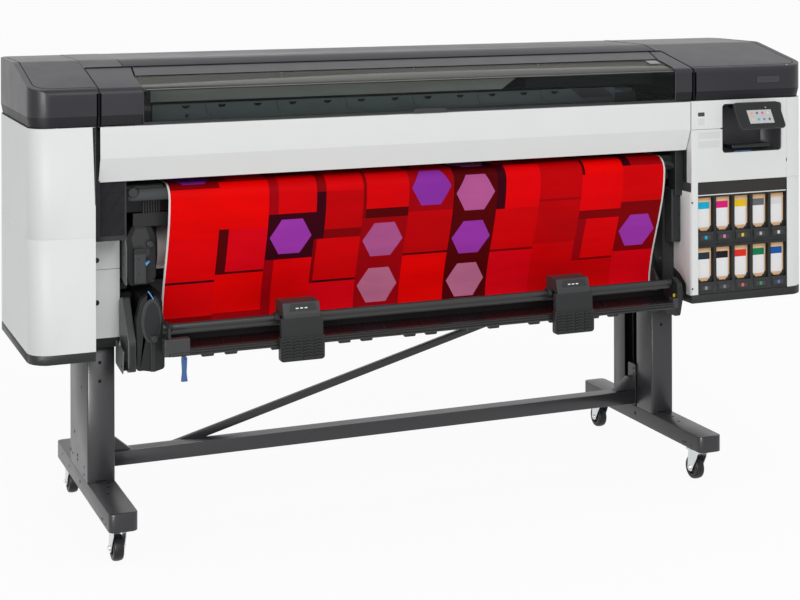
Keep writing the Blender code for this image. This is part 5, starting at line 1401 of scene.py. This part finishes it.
def loading_table():
    """Upper and lower aluminium bars, the ribbed tray, the end plates and the lever."""
    x0, x1 = TABLE.x0, TABLE.x1
    upper = [(BAR_Y - 0.0095, BAR_Z - 0.016), (BAR_Y - 0.0095, BAR_Z - 0.01)]
    for step in range(13):
        turn = radians(215 - 250 * step / 12)
        upper.append((BAR_Y + 0.011 * cos(turn), BAR_Z + 0.011 * sin(turn)))
    upper += [(BAR_Y + 0.0095, BAR_Z - 0.01), (BAR_Y + 0.0095, BAR_Z - 0.016)]
    slab("table_upper_bar", "x", upper, x0 - 0.008, x1 - 0.03, BAR, soft=0, replaces=["loading_table"])
    low_front = FRONT - 0.02
    low = TABLE_BASE - 0.005
    ridged = [(low_front + 0.002, low), (low_front, low + 0.002), (low_front, low + 0.0055),
              (low_front + 0.0022, low + 0.0065), (low_front + 0.0022, low + 0.008),
              (low_front + 0.0002, low + 0.009), (low_front + 0.0002, low + 0.013),
              (low_front + 0.0022, low + 0.014), (low_front + 0.0024, low + 0.0155),
              (low_front + 0.001, low + 0.0165), (low_front + 0.0012, low + 0.019),
              (low_front + 0.004, low + 0.0205), (low_front + 0.02, low + 0.0205), (low_front + 0.02, low)]
    slab("table_lower_bar", "x", ridged, x0 + 0.01, x1 - 0.03, BAR)
    tray = [(FRONT - 0.001, TABLE_BASE + 0.013), (FRONT + 0.068, TABLE_BASE + 0.02),
            (FRONT + 0.07, TABLE_BASE + 0.04), (FRONT + 0.066, TABLE_BASE + 0.04),
            (FRONT + 0.064, TABLE_BASE + 0.0235), (FRONT - 0.001, TABLE_BASE + 0.0165)]
    slab("table_tray", "x", tray, x0 + 0.012, x1 - 0.02, BLACK_DEEP, soft=0.0006)
    span = x1 - x0 - 0.06
    ribs = 26
    for index in range(ribs):
        x = x0 + 0.04 + span * index / ribs
        lean = 0.01
        rib = [(x, FRONT + 0.004), (x + 0.0022, FRONT + 0.004), (x + 0.0022 + lean, FRONT + 0.06),
               (x + lean, FRONT + 0.06)]
        shape = bmesh.new()
        prism(shape, "z", rib, TABLE_BASE + 0.015, TABLE_BASE + 0.0188)
        for vertex in shape.verts:
            vertex.co.z += (vertex.co.y - FRONT) * 0.1
        settle("tray_rib_%d" % index, shape, RIB)
    for index in range(22):
        x = x0 + 0.1 + (span - 0.1) * index / 22
        if index % 3 == 2:
            continue
        tab = rounded([(x, low - 0.0075, 0.002), (x + 0.034, low - 0.0075, 0.002),
                      (x + 0.037, low + 0.001, 0), (x - 0.003, low + 0.001, 0)])
        slab("table_tab_%d" % index, "y", tab, FRONT - 0.016, FRONT - 0.004, BLACK, soft=0.0008)
    block("table_left_block", (x0 - 0.012, FRONT - 0.0195, TABLE_BASE - 0.004),
          (x0 + 0.064, FRONT + 0.01, TABLE_BASE + 0.046), GREY, soft=0.003)
    plate = rounded([
        (low_front, low, 0.004), (FRONT + 0.07, low, 0.004), (FRONT + 0.07, BAR_Z + 0.006, 0.01),
        (BAR_Y, BAR_Z + 0.017, 0.014), (low_front + 0.004, BAR_Z + 0.004, 0.012),
    ])
    slab("table_end_left", "x", plate, x0, x0 + 0.008, BLACK, soft=0.0015)
    drop = TABLE_BASE - 0.034
    plate = rounded([(FRONT - 0.006, drop, 0.01), (FRONT + 0.06, drop, 0.012),
                    (FRONT + 0.07, BAR_Z + 0.002, 0.01), (BAR_Y, BAR_Z + 0.017, 0.014),
                    (low_front + 0.002, BAR_Z, 0.012), (low_front, TABLE_BASE + 0.016, 0.008)])
    slab("table_end_right", "x", plate, x1 - 0.018, x1, BLACK, soft=0.0018)
    block("table_right_block", (x1 - 0.034, FRONT - 0.0195, TABLE_BASE - 0.004),
          (x1 - 0.016, FRONT + 0.012, TABLE_BASE + 0.028), GREY, soft=0.0025)
    sticker("blank_sticker_table", x1 - 0.027, TABLE_BASE + 0.03, x1 - 0.019, TABLE_BASE + 0.04, AMBER,
            FRONT - 0.004, 0.001)
    turned("table_knob", "y", (x1 - 0.007, TABLE_BASE + 0.061),
           [(0.0, low_front - 0.001), (0.006, low_front - 0.001), (0.007, low_front),
           (0.007, FRONT + 0.004), (0.0, FRONT + 0.004)], 24, BLACK, soft=0.0008)
    for side, x in (("left", x0 + 0.0135), ("right", x1 - 0.028)):
        turned("bar_collar_" + side, "x", (BAR_Y, BAR_Z), [(0.0, x - 0.006), (0.0125, x - 0.006),
               (0.014, x - 0.004), (0.014, x + 0.004), (0.0125, x + 0.006), (0.0, x + 0.006)], 32, BLACK,
               soft=0.0006)

    lever = Span("table_lever")
    dress("table_lever", BLUE, soft=0.0018, segments=3)
    screw("lever_pivot_screw", "y", (lever.cx, lever.y0, lever.z1 - 0.008), -1, "lever", 0.003, GREY)


def pad(side):
    """A sliding media guide: clipped cap over the bar, smooth waist and a chevron grip."""
    span = Span("table_pad_" + side)
    body = "pad_" + side
    front = span.y0
    rear = FRONT - 0.0205
    x0, x1 = span.x0, span.x1
    width = x1 - x0
    cap_low = BAR_Z + 0.0115
    cap = rounded([(front + 0.01, cap_low - 0.006, 0.002), (front + 0.012, cap_low + 0.006, 0.004),
                  (front + 0.024, span.z1 - 0.0015, 0.006), (span.y1 - 0.004, span.z1, 0.005),
                  (span.y1, span.z1 - 0.01, 0.003), (span.y1, cap_low, 0), (rear + 0.004, cap_low, 0.001),
                  (rear + 0.001, cap_low - 0.006, 0.001)])
    slab("pad_cap_" + side, "x", cap, x0 + 0.012, x1 - 0.012, GREY, body=body, soft=0.002, segments=3,
         replaces=["table_pad_" + side])
    inset_front = front + 0.0125
    face = bmesh.new()
    plate = [(x0 + width * 0.22, 0.25), (x1 - width * 0.14, 0.25), (x1 - width * 0.2, 0.85),
             (x0 + width * 0.27, 0.85)]
    rings = []
    for lift in (-0.0012, 0.0008):
        ring = []
        for x, share in plate:
            y = inset_front + 0.0105 * share - lift
            z = cap_low + 0.006 + (span.z1 - 0.0015 - cap_low - 0.006) * share + lift * 0.5
            ring.append(face.verts.new((x, y, z)))
        rings.append(ring)
    face.faces.new(rings[0])
    face.faces.new(rings[1][::-1])
    for index in range(4):
        after = (index + 1) % 4
        face.faces.new((rings[0][index], rings[0][after], rings[1][after], rings[1][index]))
    settle("pad_inset_" + side, face, BLACK, body=body, soft=0.0004, segments=2)
    for index in range(3):
        x = x0 + width * (0.4 + 0.1 * index)
        z = cap_low + 0.006 + (span.z1 - 0.0075 - cap_low) * 0.5
        y = inset_front + 0.0105 * 0.5 - 0.0012
        slab("pad_mark_%s_%d" % (side, index), "y", rectangle(x - 0.0045, z - 0.0016, x + 0.0045,
             z + 0.0016, 0.0014), y - 0.001, y + 0.0015, LABEL, body=body, soft=0)
    for end, low, high in (("l", x0 - 0.0, x0 + 0.013), ("r", x1 - 0.013, x1)):
        hook = [(BAR_Y - 0.017, cap_low - 0.014)]
        for step in range(11):
            turn = radians(195 - 210 * step / 10)
            hook.append((BAR_Y + 0.017 * cos(turn), BAR_Z + 0.017 * sin(turn)))
        for step in range(11):
            turn = radians(-15 + 210 * step / 10)
            hook.append((BAR_Y + 0.0122 * cos(turn), BAR_Z + 0.0122 * sin(turn)))
        slab("pad_clip_%s_%s" % (side, end), "x", hook[1:], low, high, BLACK, body=body, soft=0.0008)
        for rib in range(3):
            x = low + 0.002 + rib * 0.0038
            ring = []
            for step in range(11):
                turn = radians(190 - 200 * step / 10)
                ring.append((BAR_Y + 0.0182 * cos(turn), BAR_Z + 0.0182 * sin(turn)))
            for step in range(11):
                turn = radians(-10 + 200 * step / 10)
                ring.append((BAR_Y + 0.0165 * cos(turn), BAR_Z + 0.0165 * sin(turn)))
            slab("pad_rib_%s_%s_%d" % (side, end, rib), "x", ring, x, x + 0.0018, GREY, body=body,
                 soft=0.0004)
    waist = rounded([(front + 0.009, cap_low - 0.004, 0.002), (rear, cap_low - 0.004, 0.001),
                    (rear, TABLE_BASE + 0.018, 0.001), (front + 0.006, TABLE_BASE + 0.02, 0.002)])
    slab("pad_waist_" + side, "x", waist, x0 + 0.004, x1 - 0.004, BLACK, body=body, soft=0.0015)
    low = span.z0
    high = TABLE_BASE + 0.026
    back = rounded([(x0, low, 0.01), (x1, low, 0.01), (x1, high, 0.004), (x0, high, 0.004)], 5)
    slab("pad_base_" + side, "y", back, front + 0.004, rear, BLACK, body=body, soft=0.0012)
    for column in range(4):
        edges = (0.03, 0.27, 0.5, 0.73, 0.97)
        left = x0 + width * edges[column] + 0.002
        right = x0 + width * edges[column + 1] - 0.002
        rows = 7
        pitch = (high - low - 0.01) / rows
        for row in range(rows):
            z = low + 0.006 + pitch * row
            middle = (left + right) / 2
            bend = pitch * 0.38
            chevron = [(left, z), (middle, z + bend), (right, z), (right, z + pitch * 0.52),
                       (middle, z + bend + pitch * 0.52), (left, z + pitch * 0.52)]
            slab("pad_grip_%s_%d_%d" % (side, column, row), "y", chevron, front, front + 0.0055, BLACK,
                 body=body, soft=0.0007)


BAR = finish("bar_black", (0.012, 0.013, 0.014), 0.26, vary=0.1, grain=260, bump=0.05, smudge=0.12,
             stretch=(0.05, 1.0, 1.0), wear=0.4, specular=0.4)
RIB = finish("rib_black", (0.01, 0.011, 0.012), 0.3, vary=0.1, grain=400, bump=0.05, specular=0.3)

# ---------------------------------------------------------------- inside the window
def interior():
    """What shows through the window: the painted beam cover, the inner panel and its notches."""
    beam_y = FRONT + 0.127
    left = LEFT_UPPER.x1 + 0.19
    right = CARRIAGE.x0 - 0.215
    low = CAP_BOTTOM + 0.052
    top = CAP_BOTTOM + 0.086
    cover = [(left, low), (left, top), (right + 0.025, top), (right - 0.025, low)]
    slab("scan_beam_cover", "y", cover, beam_y, beam_y + 0.004, BEAM_GREEN, soft=0.001, segments=2)
    block("scan_beam_shelf", (left, beam_y + 0.003, low - 0.003), (right + 0.4, beam_y + 0.03, low + 0.001),
          PLATEN_DARK, soft=0.0008)
    block("scan_beam_end", (right + 0.06, beam_y + 0.002, low - 0.001),
          (LID.x1 - 0.075, beam_y + 0.006, top), PLATEN_DARK)
    block("inner_back_panel", (LID.x0 + 0.02, FRONT + 0.36, PLATEN.z1 + 0.08),
          (LID.x1 - 0.02, FRONT + 0.363, CAP_BOTTOM + 0.13), PLATEN_DARK, soft=0.0005)
    panel_y = FRONT + 0.088
    low = CAP_BOTTOM - 0.105
    high = CAP_BOTTOM + 0.048
    x0 = LEFT_UPPER.x1 + 0.186
    x1 = LID.x1 - 0.245
    panel = slab("inner_front_panel", "y", rectangle(x0, low, x1, high, 0.004), panel_y, panel_y + 0.003,
                 INNER_GREEN, soft=0.0006)
    tools = []
    pitch = 0.1109
    count = int((x1 - x0 - 0.09) / pitch)
    for index in range(count):
        x = x0 + 0.1 + pitch * index
        notch = [(x - 0.013, high - 0.004)]
        for step in range(9):
            turn = pi + pi * step / 8
            notch.append((x + 0.013 * cos(turn), high - 0.0055 + 0.0095 * sin(turn)))
        notch.append((x + 0.013, high - 0.004))
        tools.append(cutter("y", notch[1:-1], panel_y - 0.01, panel_y + 0.01))
        # painted shade: a black sheet behind each notch
        block("notch_shade_%d" % index, (x - 0.015, panel_y + 0.0032, high - 0.018),
              (x + 0.015, panel_y + 0.004, high - 0.002), BLACK_DEEP, soft=0)
    carve(panel, *tools)
    seams = int((x1 - x0) / (pitch * 2))
    for index in range(seams):
        x = x0 + 0.1565 + pitch * 2 * index
        line = [(x, high), (x + 0.0012, high), (x + 0.0112, CAP_BOTTOM + 0.012),
                (x + 0.01, CAP_BOTTOM + 0.012)]
        slab("inner_joint_%d" % index, "y", line, panel_y - 0.0004, panel_y + 0.0006, BLACK_DEEP, soft=0)
        block("inner_step_%d" % index, (x + 0.002, panel_y - 0.0006, CAP_BOTTOM + 0.0225),
              (x + 0.0095, panel_y + 0.0006, CAP_BOTTOM + 0.0235), BLACK_DEEP, soft=0)
        bolt_hole("inner_rivet", "y", (x + 0.02, panel_y, CAP_BOTTOM + 0.014), -1, 0.0022)
    bolt_hole("inner_hole", "y", (x0 + 0.103, panel_y, CAP_BOTTOM + 0.012), -1, 0.0055)
    wedge = [(x1 - 0.16, high + 0.0004), (x1 - 0.04, high + 0.0004), (x1 - 0.005, high - 0.03),
             (x1 - 0.12, high - 0.03)]
    slab("inner_cover_wedge", "y", wedge, panel_y - 0.003, panel_y + 0.001, GREY, soft=0.0006)

    body = "print_head_carriage"
    dress("print_carriage", BLACK, soft=0.002)
    top = CARRIAGE.z1
    block("carriage_cover", (CARRIAGE.x0 + 0.01, CARRIAGE.y0 + 0.01, top - 0.004),
          (CARRIAGE.x1 - 0.01, CARRIAGE.y1 - 0.03, top + 0.012), GREY, body=body, soft=0.004)
    block("carriage_latch", (CARRIAGE.x0 + 0.05, CARRIAGE.y0 + 0.004, top - 0.06),
          (CARRIAGE.x1 - 0.05, CARRIAGE.y0 + 0.012, top + 0.004), BLUE, body=body, soft=0.003)
    for index in range(4):
        x = CARRIAGE.x0 + 0.03 + index * 0.048
        block("carriage_head_%d" % index, (x, CARRIAGE.y0 - 0.003, CARRIAGE.z0 + 0.01),
              (x + 0.036, CARRIAGE.y0 + 0.002, top - 0.07), GREY, body=body, soft=0.0015)
    cutter_span = Span("cutter_carriage")
    dress("cutter_carriage", BLACK, soft=0.0015)
    turned("cutter_blade", "y", (cutter_span.cx, cutter_span.z0 + 0.004),
           [ (0.0, cutter_span.y0 + 0.003), (0.0065, cutter_span.y0 + 0.003),
           (0.0085, cutter_span.y0 + 0.0035), (0.0065, cutter_span.y0 + 0.0045),
           (0.0, cutter_span.y0 + 0.0045)], 36, STEEL, body="cutter")
    block("cutter_grip", (cutter_span.x0 + 0.012, cutter_span.y0 - 0.002, cutter_span.z1 - 0.014),
          (cutter_span.x1 - 0.012, cutter_span.y0 + 0.002, cutter_span.z1 - 0.006), GREY, body="cutter",
          soft=0.0015)


INNER_GREEN = finish("inner_panel_green", (0.12, 0.155, 0.155), 0.5, vary=0.06, grain=400, bump=0.06,
                     specular=0.2)


# ---------------------------------------------------------------- roll drives
def roll_drives():
    """Left housings of both spindles, with their covers, discs, arcs and brackets."""
    body = "printer_frame"
    face = Span("roll_drive_upper")
    outer_x = LEFT_UPPER.x1 + 0.132
    drive_x = face.x1
    dress("roll_drive_lower", BLACK_DEEP, soft=0.0015)
    dress("roll_drive_upper", BLACK_DEEP, soft=0.0015)
    front = FRONT + 0.121
    z = SUPPLY.cz
    drop = rounded([(outer_x - 0.02, z + 0.05, 0.014), (outer_x + 0.018, z + 0.118, 0.016),
                   (outer_x + 0.045, z + 0.108, 0.012), (drive_x - 0.002, z + 0.052, 0.03),
                   (drive_x - 0.002, z - 0.07, 0.014), (drive_x - 0.03, z - 0.094, 0.014),
                   (outer_x - 0.006, z - 0.094, 0.01), (outer_x - 0.022, z - 0.06, 0.01)], 8)
    slab("upper_drive_cover", "y", drop, front - 0.0065, front + 0.01, BLACK, soft=0.0045, segments=4)
    hollow = rounded([(outer_x - 0.004, z + 0.048, 0.01), (outer_x + 0.02, z + 0.103, 0.01),
                     (outer_x + 0.036, z + 0.092, 0.01), (drive_x - 0.02, z + 0.04, 0.02),
                     (drive_x - 0.022, z - 0.01, 0.01), (outer_x + 0.01, z - 0.01, 0.008)], 8)
    slab("upper_drive_recess", "y", hollow, front - 0.0078, front - 0.005, GREY, soft=0.0012, segments=3)
    turned("upper_drive_boss", "y", (outer_x + 0.05, z + 0.028),
           [(0.0, front - 0.02), (0.009, front - 0.02), (0.011, front - 0.018), (0.011, front - 0.004),
           (0.0, front - 0.004)], 28, GREY, soft=0.0006)
    block("upper_drive_box", (outer_x + 0.001, front - 0.026, z - 0.086),
          (outer_x + 0.036, front - 0.004, z + 0.016), GREY, soft=0.003)
    block("upper_drive_lid", (outer_x + 0.003, front - 0.0275, z + 0.002),
          (outer_x + 0.034, front - 0.022, z + 0.018), BLACK, soft=0.002)
    plate = rounded([(front - 0.02, z - 0.09, 0.004), (front + 0.05, z - 0.075, 0.004),
                    (front + 0.05, z + 0.052, 0.012), (front + 0.002, z + 0.066, 0.012),
                    (front - 0.02, z + 0.02, 0.01)])
    slab("upper_drive_plate", "x", plate, outer_x - 0.0235, outer_x - 0.019, PLATE_GREY, soft=0.0012)
    for index, height in enumerate((-0.06, -0.03, 0.0, 0.03)):
        bolt_hole("drive_plate_hole", "x", (outer_x - 0.0235, front + 0.01, z + height), -1, 0.0028)
        screw("drive_plate_screw_%d" % index, "y", (outer_x + 0.006 + 0.009 * (index % 2), front - 0.026,
              z - 0.078 + 0.022 * index), -1, body, 0.0022, GREY)
    triangle = rounded([(outer_x + 0.033, z - 0.024, 0.001), (outer_x + 0.05, z - 0.019, 0.001),
                       (outer_x + 0.036, z - 0.034, 0.001)])
    slab("drive_blue_mark", "y", triangle, front - 0.027, front - 0.008, BLUE_LIGHT, soft=0.0004)
    arc = arc_band(outer_x - 0.024, z + 0.063, 0.081, 0.0028, 47, 25)
    slab("upper_blue_arc", "y", arc, front - 0.0072, front - 0.005, BLUE_LIGHT, soft=0)

    z = TAKE_UP.cz
    front = FRONT + 0.048
    cx = drive_x - 0.04
    arch = rounded([(cx - 0.036, z - 0.086, 0.012), (cx - 0.04, z + 0.06, 0.03),
                   (cx - 0.02, z + 0.132, 0.034), (cx + 0.02, z + 0.128, 0.034),
                   (drive_x + 0.003, z + 0.052, 0.04), (drive_x + 0.003, z - 0.088, 0.01),
                   (cx + 0.012, z - 0.096, 0.01)], 9)
    slab("lower_drive_ring", "y", arch, front - 0.01, front + 0.018, BLACK, soft=0.005, segments=4)
    disc = [(cx + 0.004 + 0.03 * cos(tau * step / 36), z + 0.052 + 0.064 * sin(tau * step / 36))
            for step in range(36)]
    slab("lower_drive_disc", "y", disc, front - 0.0115, front - 0.0085, GREY, soft=0.0014, segments=3)
    oval = [(cx + 0.006 + 0.0235 * cos(tau * step / 36), z + 0.05 + 0.056 * sin(tau * step / 36))
            for step in range(36)]
    slab("lower_drive_face", "y", oval, front - 0.0122, front - 0.01, BLACK, soft=0.001, segments=3)
    arc = arc_band(cx - 0.114, z + 0.054, 0.139, 0.003, 38, 5)
    slab("lower_blue_arc", "y", arc, front - 0.0112, front - 0.0085, BLUE_LIGHT, soft=0)
    turned("lower_drive_boss", "y", (cx + 0.012, z + 0.0), [(0.0, front - 0.022), (0.008, front - 0.022),
           (0.01, front - 0.02), (0.01, front - 0.009), (0.0, front - 0.009)], 28, GREY, soft=0.0006)
    slab("lower_drive_leg", "y", rectangle(cx + 0.0, z - 0.094, cx + 0.016, z + 0.01, 0.003), front - 0.016,
         front - 0.006, BLACK, soft=0.002)
    box_x = LEFT_UPPER.x1 + 0.102
    side = rounded([(FRONT + 0.034, z - 0.092, 0.006), (FRONT + 0.125, z - 0.08, 0.01),
                   (FRONT + 0.15, z + 0.01, 0.012), (FRONT + 0.15, z + 0.1, 0.012),
                   (FRONT + 0.115, z + 0.112, 0.01), (FRONT + 0.034, z - 0.002, 0.006)])
    slab("lower_drive_box", "x", side, box_x, box_x + 0.022, GREY, soft=0.003, segments=3)
    slab("lower_drive_side", "x", side, box_x - 0.0025, box_x + 0.0008, PLATE_GREY, soft=0.0012)
    slab("lower_drive_slit", "y", rectangle(box_x + 0.004, z - 0.086, box_x + 0.018, z - 0.014, 0.002),
         FRONT + 0.0325, FRONT + 0.036, BLACK, soft=0.0008)
    bracket = rounded([(FRONT + 0.02, z - 0.025, 0.004), (FRONT + 0.125, z - 0.013, 0.004),
                      (FRONT + 0.125, z - 0.081, 0.006), (FRONT + 0.03, z - 0.093, 0.006)])
    slab("lower_bracket", "x", bracket, box_x - 0.019, box_x - 0.0165, PLATE_GREY, soft=0.001)
    floor_points = rectangle(box_x - 0.018, FRONT + 0.028, box_x + 0.002, FRONT + 0.12, 0.002)
    slab("lower_bracket_floor", "z", floor_points, z - 0.082, z - 0.0795, BLACK, soft=0.0006)
    bolt_hole("bracket_hole", "x", (box_x - 0.019, FRONT + 0.045, z - 0.072), -1, 0.0045)

    # platen end piece with its blank sticker, and the roller's end block
    z = PLATEN.z1
    end = rounded([(FRONT + 0.07, z - 0.036, 0.004), (FRONT + 0.074, z + 0.004, 0.01),
                  (FRONT + 0.2, z + 0.004, 0.002), (FRONT + 0.2, z - 0.036, 0.002)])
    slab("platen_end_left", "x", end, PLATEN.x0 + 0.001, PAPER.x0 - 0.006, BLACK, soft=0.0015)
    slab("platen_end_right", "x", end, PAPER.x1 + 0.006, PLATEN.x1 - 0.003, BLACK, soft=0.0015)
    for name, x in (("left", PLATEN.x0 + 0.042), ("right", PAPER.x1 + 0.014)):
        slab("blank_sticker_platen_" + name, "y", rounded([(x, z - 0.022, 0.001),
             (x + 0.026, z - 0.022, 0.001), (x + 0.01, z - 0.009, 0.002)]), FRONT + 0.0705, FRONT + 0.0735,
             AMBER, soft=0)
        low = rectangle(x - 0.012, z - 0.0285, x + 0.05, z - 0.0245, 0.001)
        slab("platen_end_line_" + name, "y", low, FRONT + 0.0685, FRONT + 0.072, PLATE_GREY, soft=0.0006)
    turned("platen_drum", "y", (PLATEN.x0 + 0.023, z - 0.018),
           [(0.0, FRONT + 0.062), (0.013, FRONT + 0.062), (0.016, FRONT + 0.066), (0.016, FRONT + 0.09),
           (0.0, FRONT + 0.09)], 32, GREY, soft=0.0008)
    for index in range(7):
        x = PAPER.x0 - 0.06 + index * 0.0078
        block("guide_tooth_%d" % index, (x, FRONT + 0.098, z - 0.086),
              (x + 0.0045, FRONT + 0.112, z - 0.044), BLACK)
    block("guide_rail", (PLATEN.x0 + 0.03, FRONT + 0.1, z - 0.124),
          (PAPER.x0 + 0.05, FRONT + 0.112, z - 0.084), BLACK, soft=0.002)


PLATE_GREY = finish("bracket_grey", (0.11, 0.115, 0.118), 0.38, vary=0.08, grain=300, bump=0.08, wear=0.3)


def arc_band(a, b, radius, width, start, end):
    """Outline of an arc-shaped strip between two angles in degrees."""
    steps = 16
    outer = []
    inner = []
    for step in range(steps + 1):
        turn = radians(start + (end - start) * step / steps)
        outer.append((a + radius * cos(turn), b + radius * sin(turn)))
        inner.append((a + (radius - width) * cos(turn), b + (radius - width) * sin(turn)))
    return outer + inner[::-1]


def right_bracket():
    """Right spindle bracket with its discs, screws, a dark box, a roll cover and a tube."""
    body = "printer_frame"
    span = Span("right_roll_bracket")
    dress("right_roll_bracket", BLACK, soft=0.002)
    x = span.x0
    for name, centre, radius in (("upper", (SUPPLY.cy, SUPPLY.cz), 0.04),
                                 ("lower", (TAKE_UP.cy, TAKE_UP.cz), 0.044)):
        turned("bracket_disc_" + name, "x", centre, [(0.0145, x + 0.0005), (0.0145, x - 0.0055),
               (radius - 0.004, x - 0.0055), (radius, x - 0.003), (radius, x + 0.0005)], 48, GREY,
               soft=0.0006)
    for index, (y, z) in enumerate(((0.215, 0.205), (0.24, 0.16), (0.12, 0.13), (0.225, 0.3),
                                    (0.255, 0.27))):
        screw("bracket_screw_%d" % index, "x", (x, FRONT + y, span.z0 + z), -1, body, 0.0035, GREY)
    block("right_dark_box", (RIGHT_FRONT.x0 - 0.03, FRONT + 0.052, 0.915),
          (RIGHT_FRONT.x0 + 0.0015, FRONT + 0.098, 1.1), BLACK, soft=0.002)
    block("right_roll_cover", (span.x0 + 0.008, FRONT + 0.06, 0.76), (span.x1 - 0.004, FRONT + 0.11, 0.935),
          BLACK, soft=0.004)
    line = []
    for step in range(13):
        share = step / 12
        line.append((PAPER.x1 + 0.012 + 0.062 * share, FRONT + 0.068,
                    PLATEN.z1 - 0.022 - 0.026 * share + 0.006 * sin(pi * share)))
    wire("right_roller_tube", line, 0.0095, BLACK)


# ---------------------------------------------------------------- left cabinet details
# painted shade: near-black bands of this width on the cap and lid fronts beside the gaps between them stand
# for the shade in those gaps. The same near-black also draws the seams on the top.
GAP_SHADE_WIDTH = 0.0055
SEAM_BLACK_AND_GAP_SHADE = finish("seam_black_and_gap_shade", (0.002, 0.002, 0.003), 0.8, vary=0.12, grain=500, bump=0.04, specular=0.02)


def front_skin(outside, inside):
    """Side outline of a thin skin over the front of the caps and the lid, from the band to the bend."""
    outline = []
    for lift in (outside, inside):
        line = [(FRONT + BAND_LEAN - lift, CAP_BOTTOM + 0.001), (FRONT - lift, BAND_TOP)]
        for step in range(6):
            turn = radians(65 * step / 5)
            line.append((FRONT + 0.02 - (0.02 + lift) * cos(turn),
                        FRONT_EDGE - 0.0165 + (0.0165 + lift) * sin(turn)))
        outline += line if lift == outside else line[::-1]
    return outline


def left_details():
    body = "printer_frame"
    inner = Span("left_inner_cover")
    for z in (0.822, 0.698):
        turned("inner_knob_%d" % round(z * 1000), "y", (inner.x0 + 0.0345 - 0.0005, z),
               [(0.0, inner.y0 - 0.006), (0.005, inner.y0 - 0.006), (0.007, inner.y0 - 0.004),
               (0.0078, inner.y0 + 0.001), (0.0, inner.y0 + 0.001)], 28, BLACK, soft=0.0008)
    seam = rectangle(inner.x0 + 0.0005, 0.7934, inner.x1 - 0.0005, 0.7946)
    slab("inner_cover_seam", "y", seam, inner.y0 - 0.0002, inner.y0 + 0.0006, GREY, slot="white_cover",
         soft=0)
    block("left_dark_box", (LEFT_UPPER.x1 + 0.02, FRONT + 0.05, 0.907),
          (LEFT_UPPER.x1 + 0.0955, FRONT + 0.15, HOOD.z0 + 0.02), SHADE_BLACK, soft=0.0012)
    for z in (0.955, 1.0, 1.032):
        slab("dark_box_line_%d" % round(z * 1000), "y", rectangle(LEFT_UPPER.x1 + 0.021, z,
             LEFT_UPPER.x1 + 0.095, z + 0.0008), FRONT + 0.0496, FRONT + 0.0504, BLACK_DEEP, soft=0)
    strip = rectangle(LEFT_UPPER.x1 + 0.0012, 0.907, LEFT_UPPER.x1 + 0.0105, CAP_BOTTOM, 0.001)
    slab("left_dark_strip", "y", strip, FRONT + 0.02, FRONT + 0.03, SHADE_BLACK, soft=0.001)
    slab("left_strip_edge", "y", rectangle(LEFT_UPPER.x1 + 0.0108, 0.904, LEFT_UPPER.x1 + 0.018,
         HOOD.z0 + 0.01, 0.001), FRONT + 0.026, FRONT + 0.06, SHADE_BLACK, soft=0.001)
    # painted shade: a black wire in the gap behind the lid
    wire("lid_rear_gap_shade", [(REAR.x0 + 0.001, LID.y1 + 0.0006, top_height(LID.y1) + 0.0002),
         (REAR.x1 - 0.001, LID.y1 + 0.0006, top_height(LID.y1) + 0.0002)], 0.0028, BLACK_DEEP,
         slot="dark_cover")
    # painted shadow: a black wedge on the left cover's front along its edge by the hood, widest at the top
    wedge = [(LEFT_UPPER.x1 - 0.0085, LEFT_UPPER.z1 - 0.0005),
             (LEFT_UPPER.x1 - 0.0002, LEFT_UPPER.z1 - 0.0005), (LEFT_UPPER.x1 - 0.0002, HOOD.z0 - 0.06),
             (LEFT_UPPER.x1 - 0.0012, HOOD.z0 - 0.06)]
    slab("left_cover_shadow_edge", "y", wedge, FRONT - 0.0003, FRONT + 0.0006, SHADE_BLACK, soft=0)
    # painted shade: black wires in the gaps between the lid and the caps, and near-black bands on the
    # fronts beside them
    for name, x in (("left", (LEFT_CAP.x1 + LID.x0) / 2), ("right", (RIGHT_CAP.x0 + LID.x1) / 2)):
        line = [(x, FRONT + 0.002, CAP_BOTTOM + 0.001), (x, FRONT + 0.0012, FRONT_EDGE - 0.012),
                (x, FRONT + 0.006, FRONT_EDGE - 0.0035), (x, FRONT + 0.02,
                top_height(FRONT + 0.02) - 0.0012), (x, LID.y1 - 0.002, top_height(LID.y1) - 0.0012)]
        wire("lid_side_gap_shade_" + name, line, 0.0022, BLACK_DEEP, slot="dark_cover")
    for name, cap_x, lid_x, sign in (("left", LEFT_CAP.x1, LID.x0, 1), ("right", RIGHT_CAP.x0, LID.x1, -1)):
        for part, x, owner, turn in (("cap", cap_x, body, -sign), ("lid", lid_x, "lid", sign)):
            near, far = sorted((x, x + turn * GAP_SHADE_WIDTH))
            slab("gap_shade_band_%s_%s" % (part, name), "x", front_skin(0.0005, -0.0015), near, far, SEAM_BLACK_AND_GAP_SHADE,
                 body=owner, soft=0.0002)


# Real dark parts, and also the painted shadow along the left cover's edge
SHADE_BLACK = finish("frame_black_and_painted_shadow", (0.01, 0.01, 0.014), 0.45, vary=0.08, grain=500, bump=0.06,
                     specular=0.25)

# ---------------------------------------------------------------- white body
def body_covers():
    dress("left_cover_upper", WHITE, soft=0.0012)
    dress("left_cover_lower", WHITE, soft=0.0012)
    dress("left_inner_cover", WHITE, soft=0.001)
    dress("front_hood", WHITE, soft=0.0012, angle=12)
    dress("right_side_cover", WHITE, soft=0.0012)
    dress("right_inner_cover", WHITE, soft=0.0006)
    dress("left_base", BLACK, soft=0.002)
    dress("right_base", BLACK, soft=0.002)
    dress("chassis", BLACK, soft=0.001)
    dress("platen", PLATEN_DARK, soft=0.0008)
    dress("drive_roller", TYRE, soft=0.0004)
    for node in ("upper_spindle", "lower_spindle"):
        dress(node, BLACK, soft=0.0006)
    dress("supply_roll", ROLL_PAPER)


studio()
printed_sheet()
stand()
for corner in ("left_front", "left_rear", "right_front", "right_rear"):
    caster(corner)
dark_top()
body_covers()
right_front()
control_panel()
ink()
loading_table()
interior()
roll_drives()
right_bracket()
left_details()
pad("left")
pad("right")
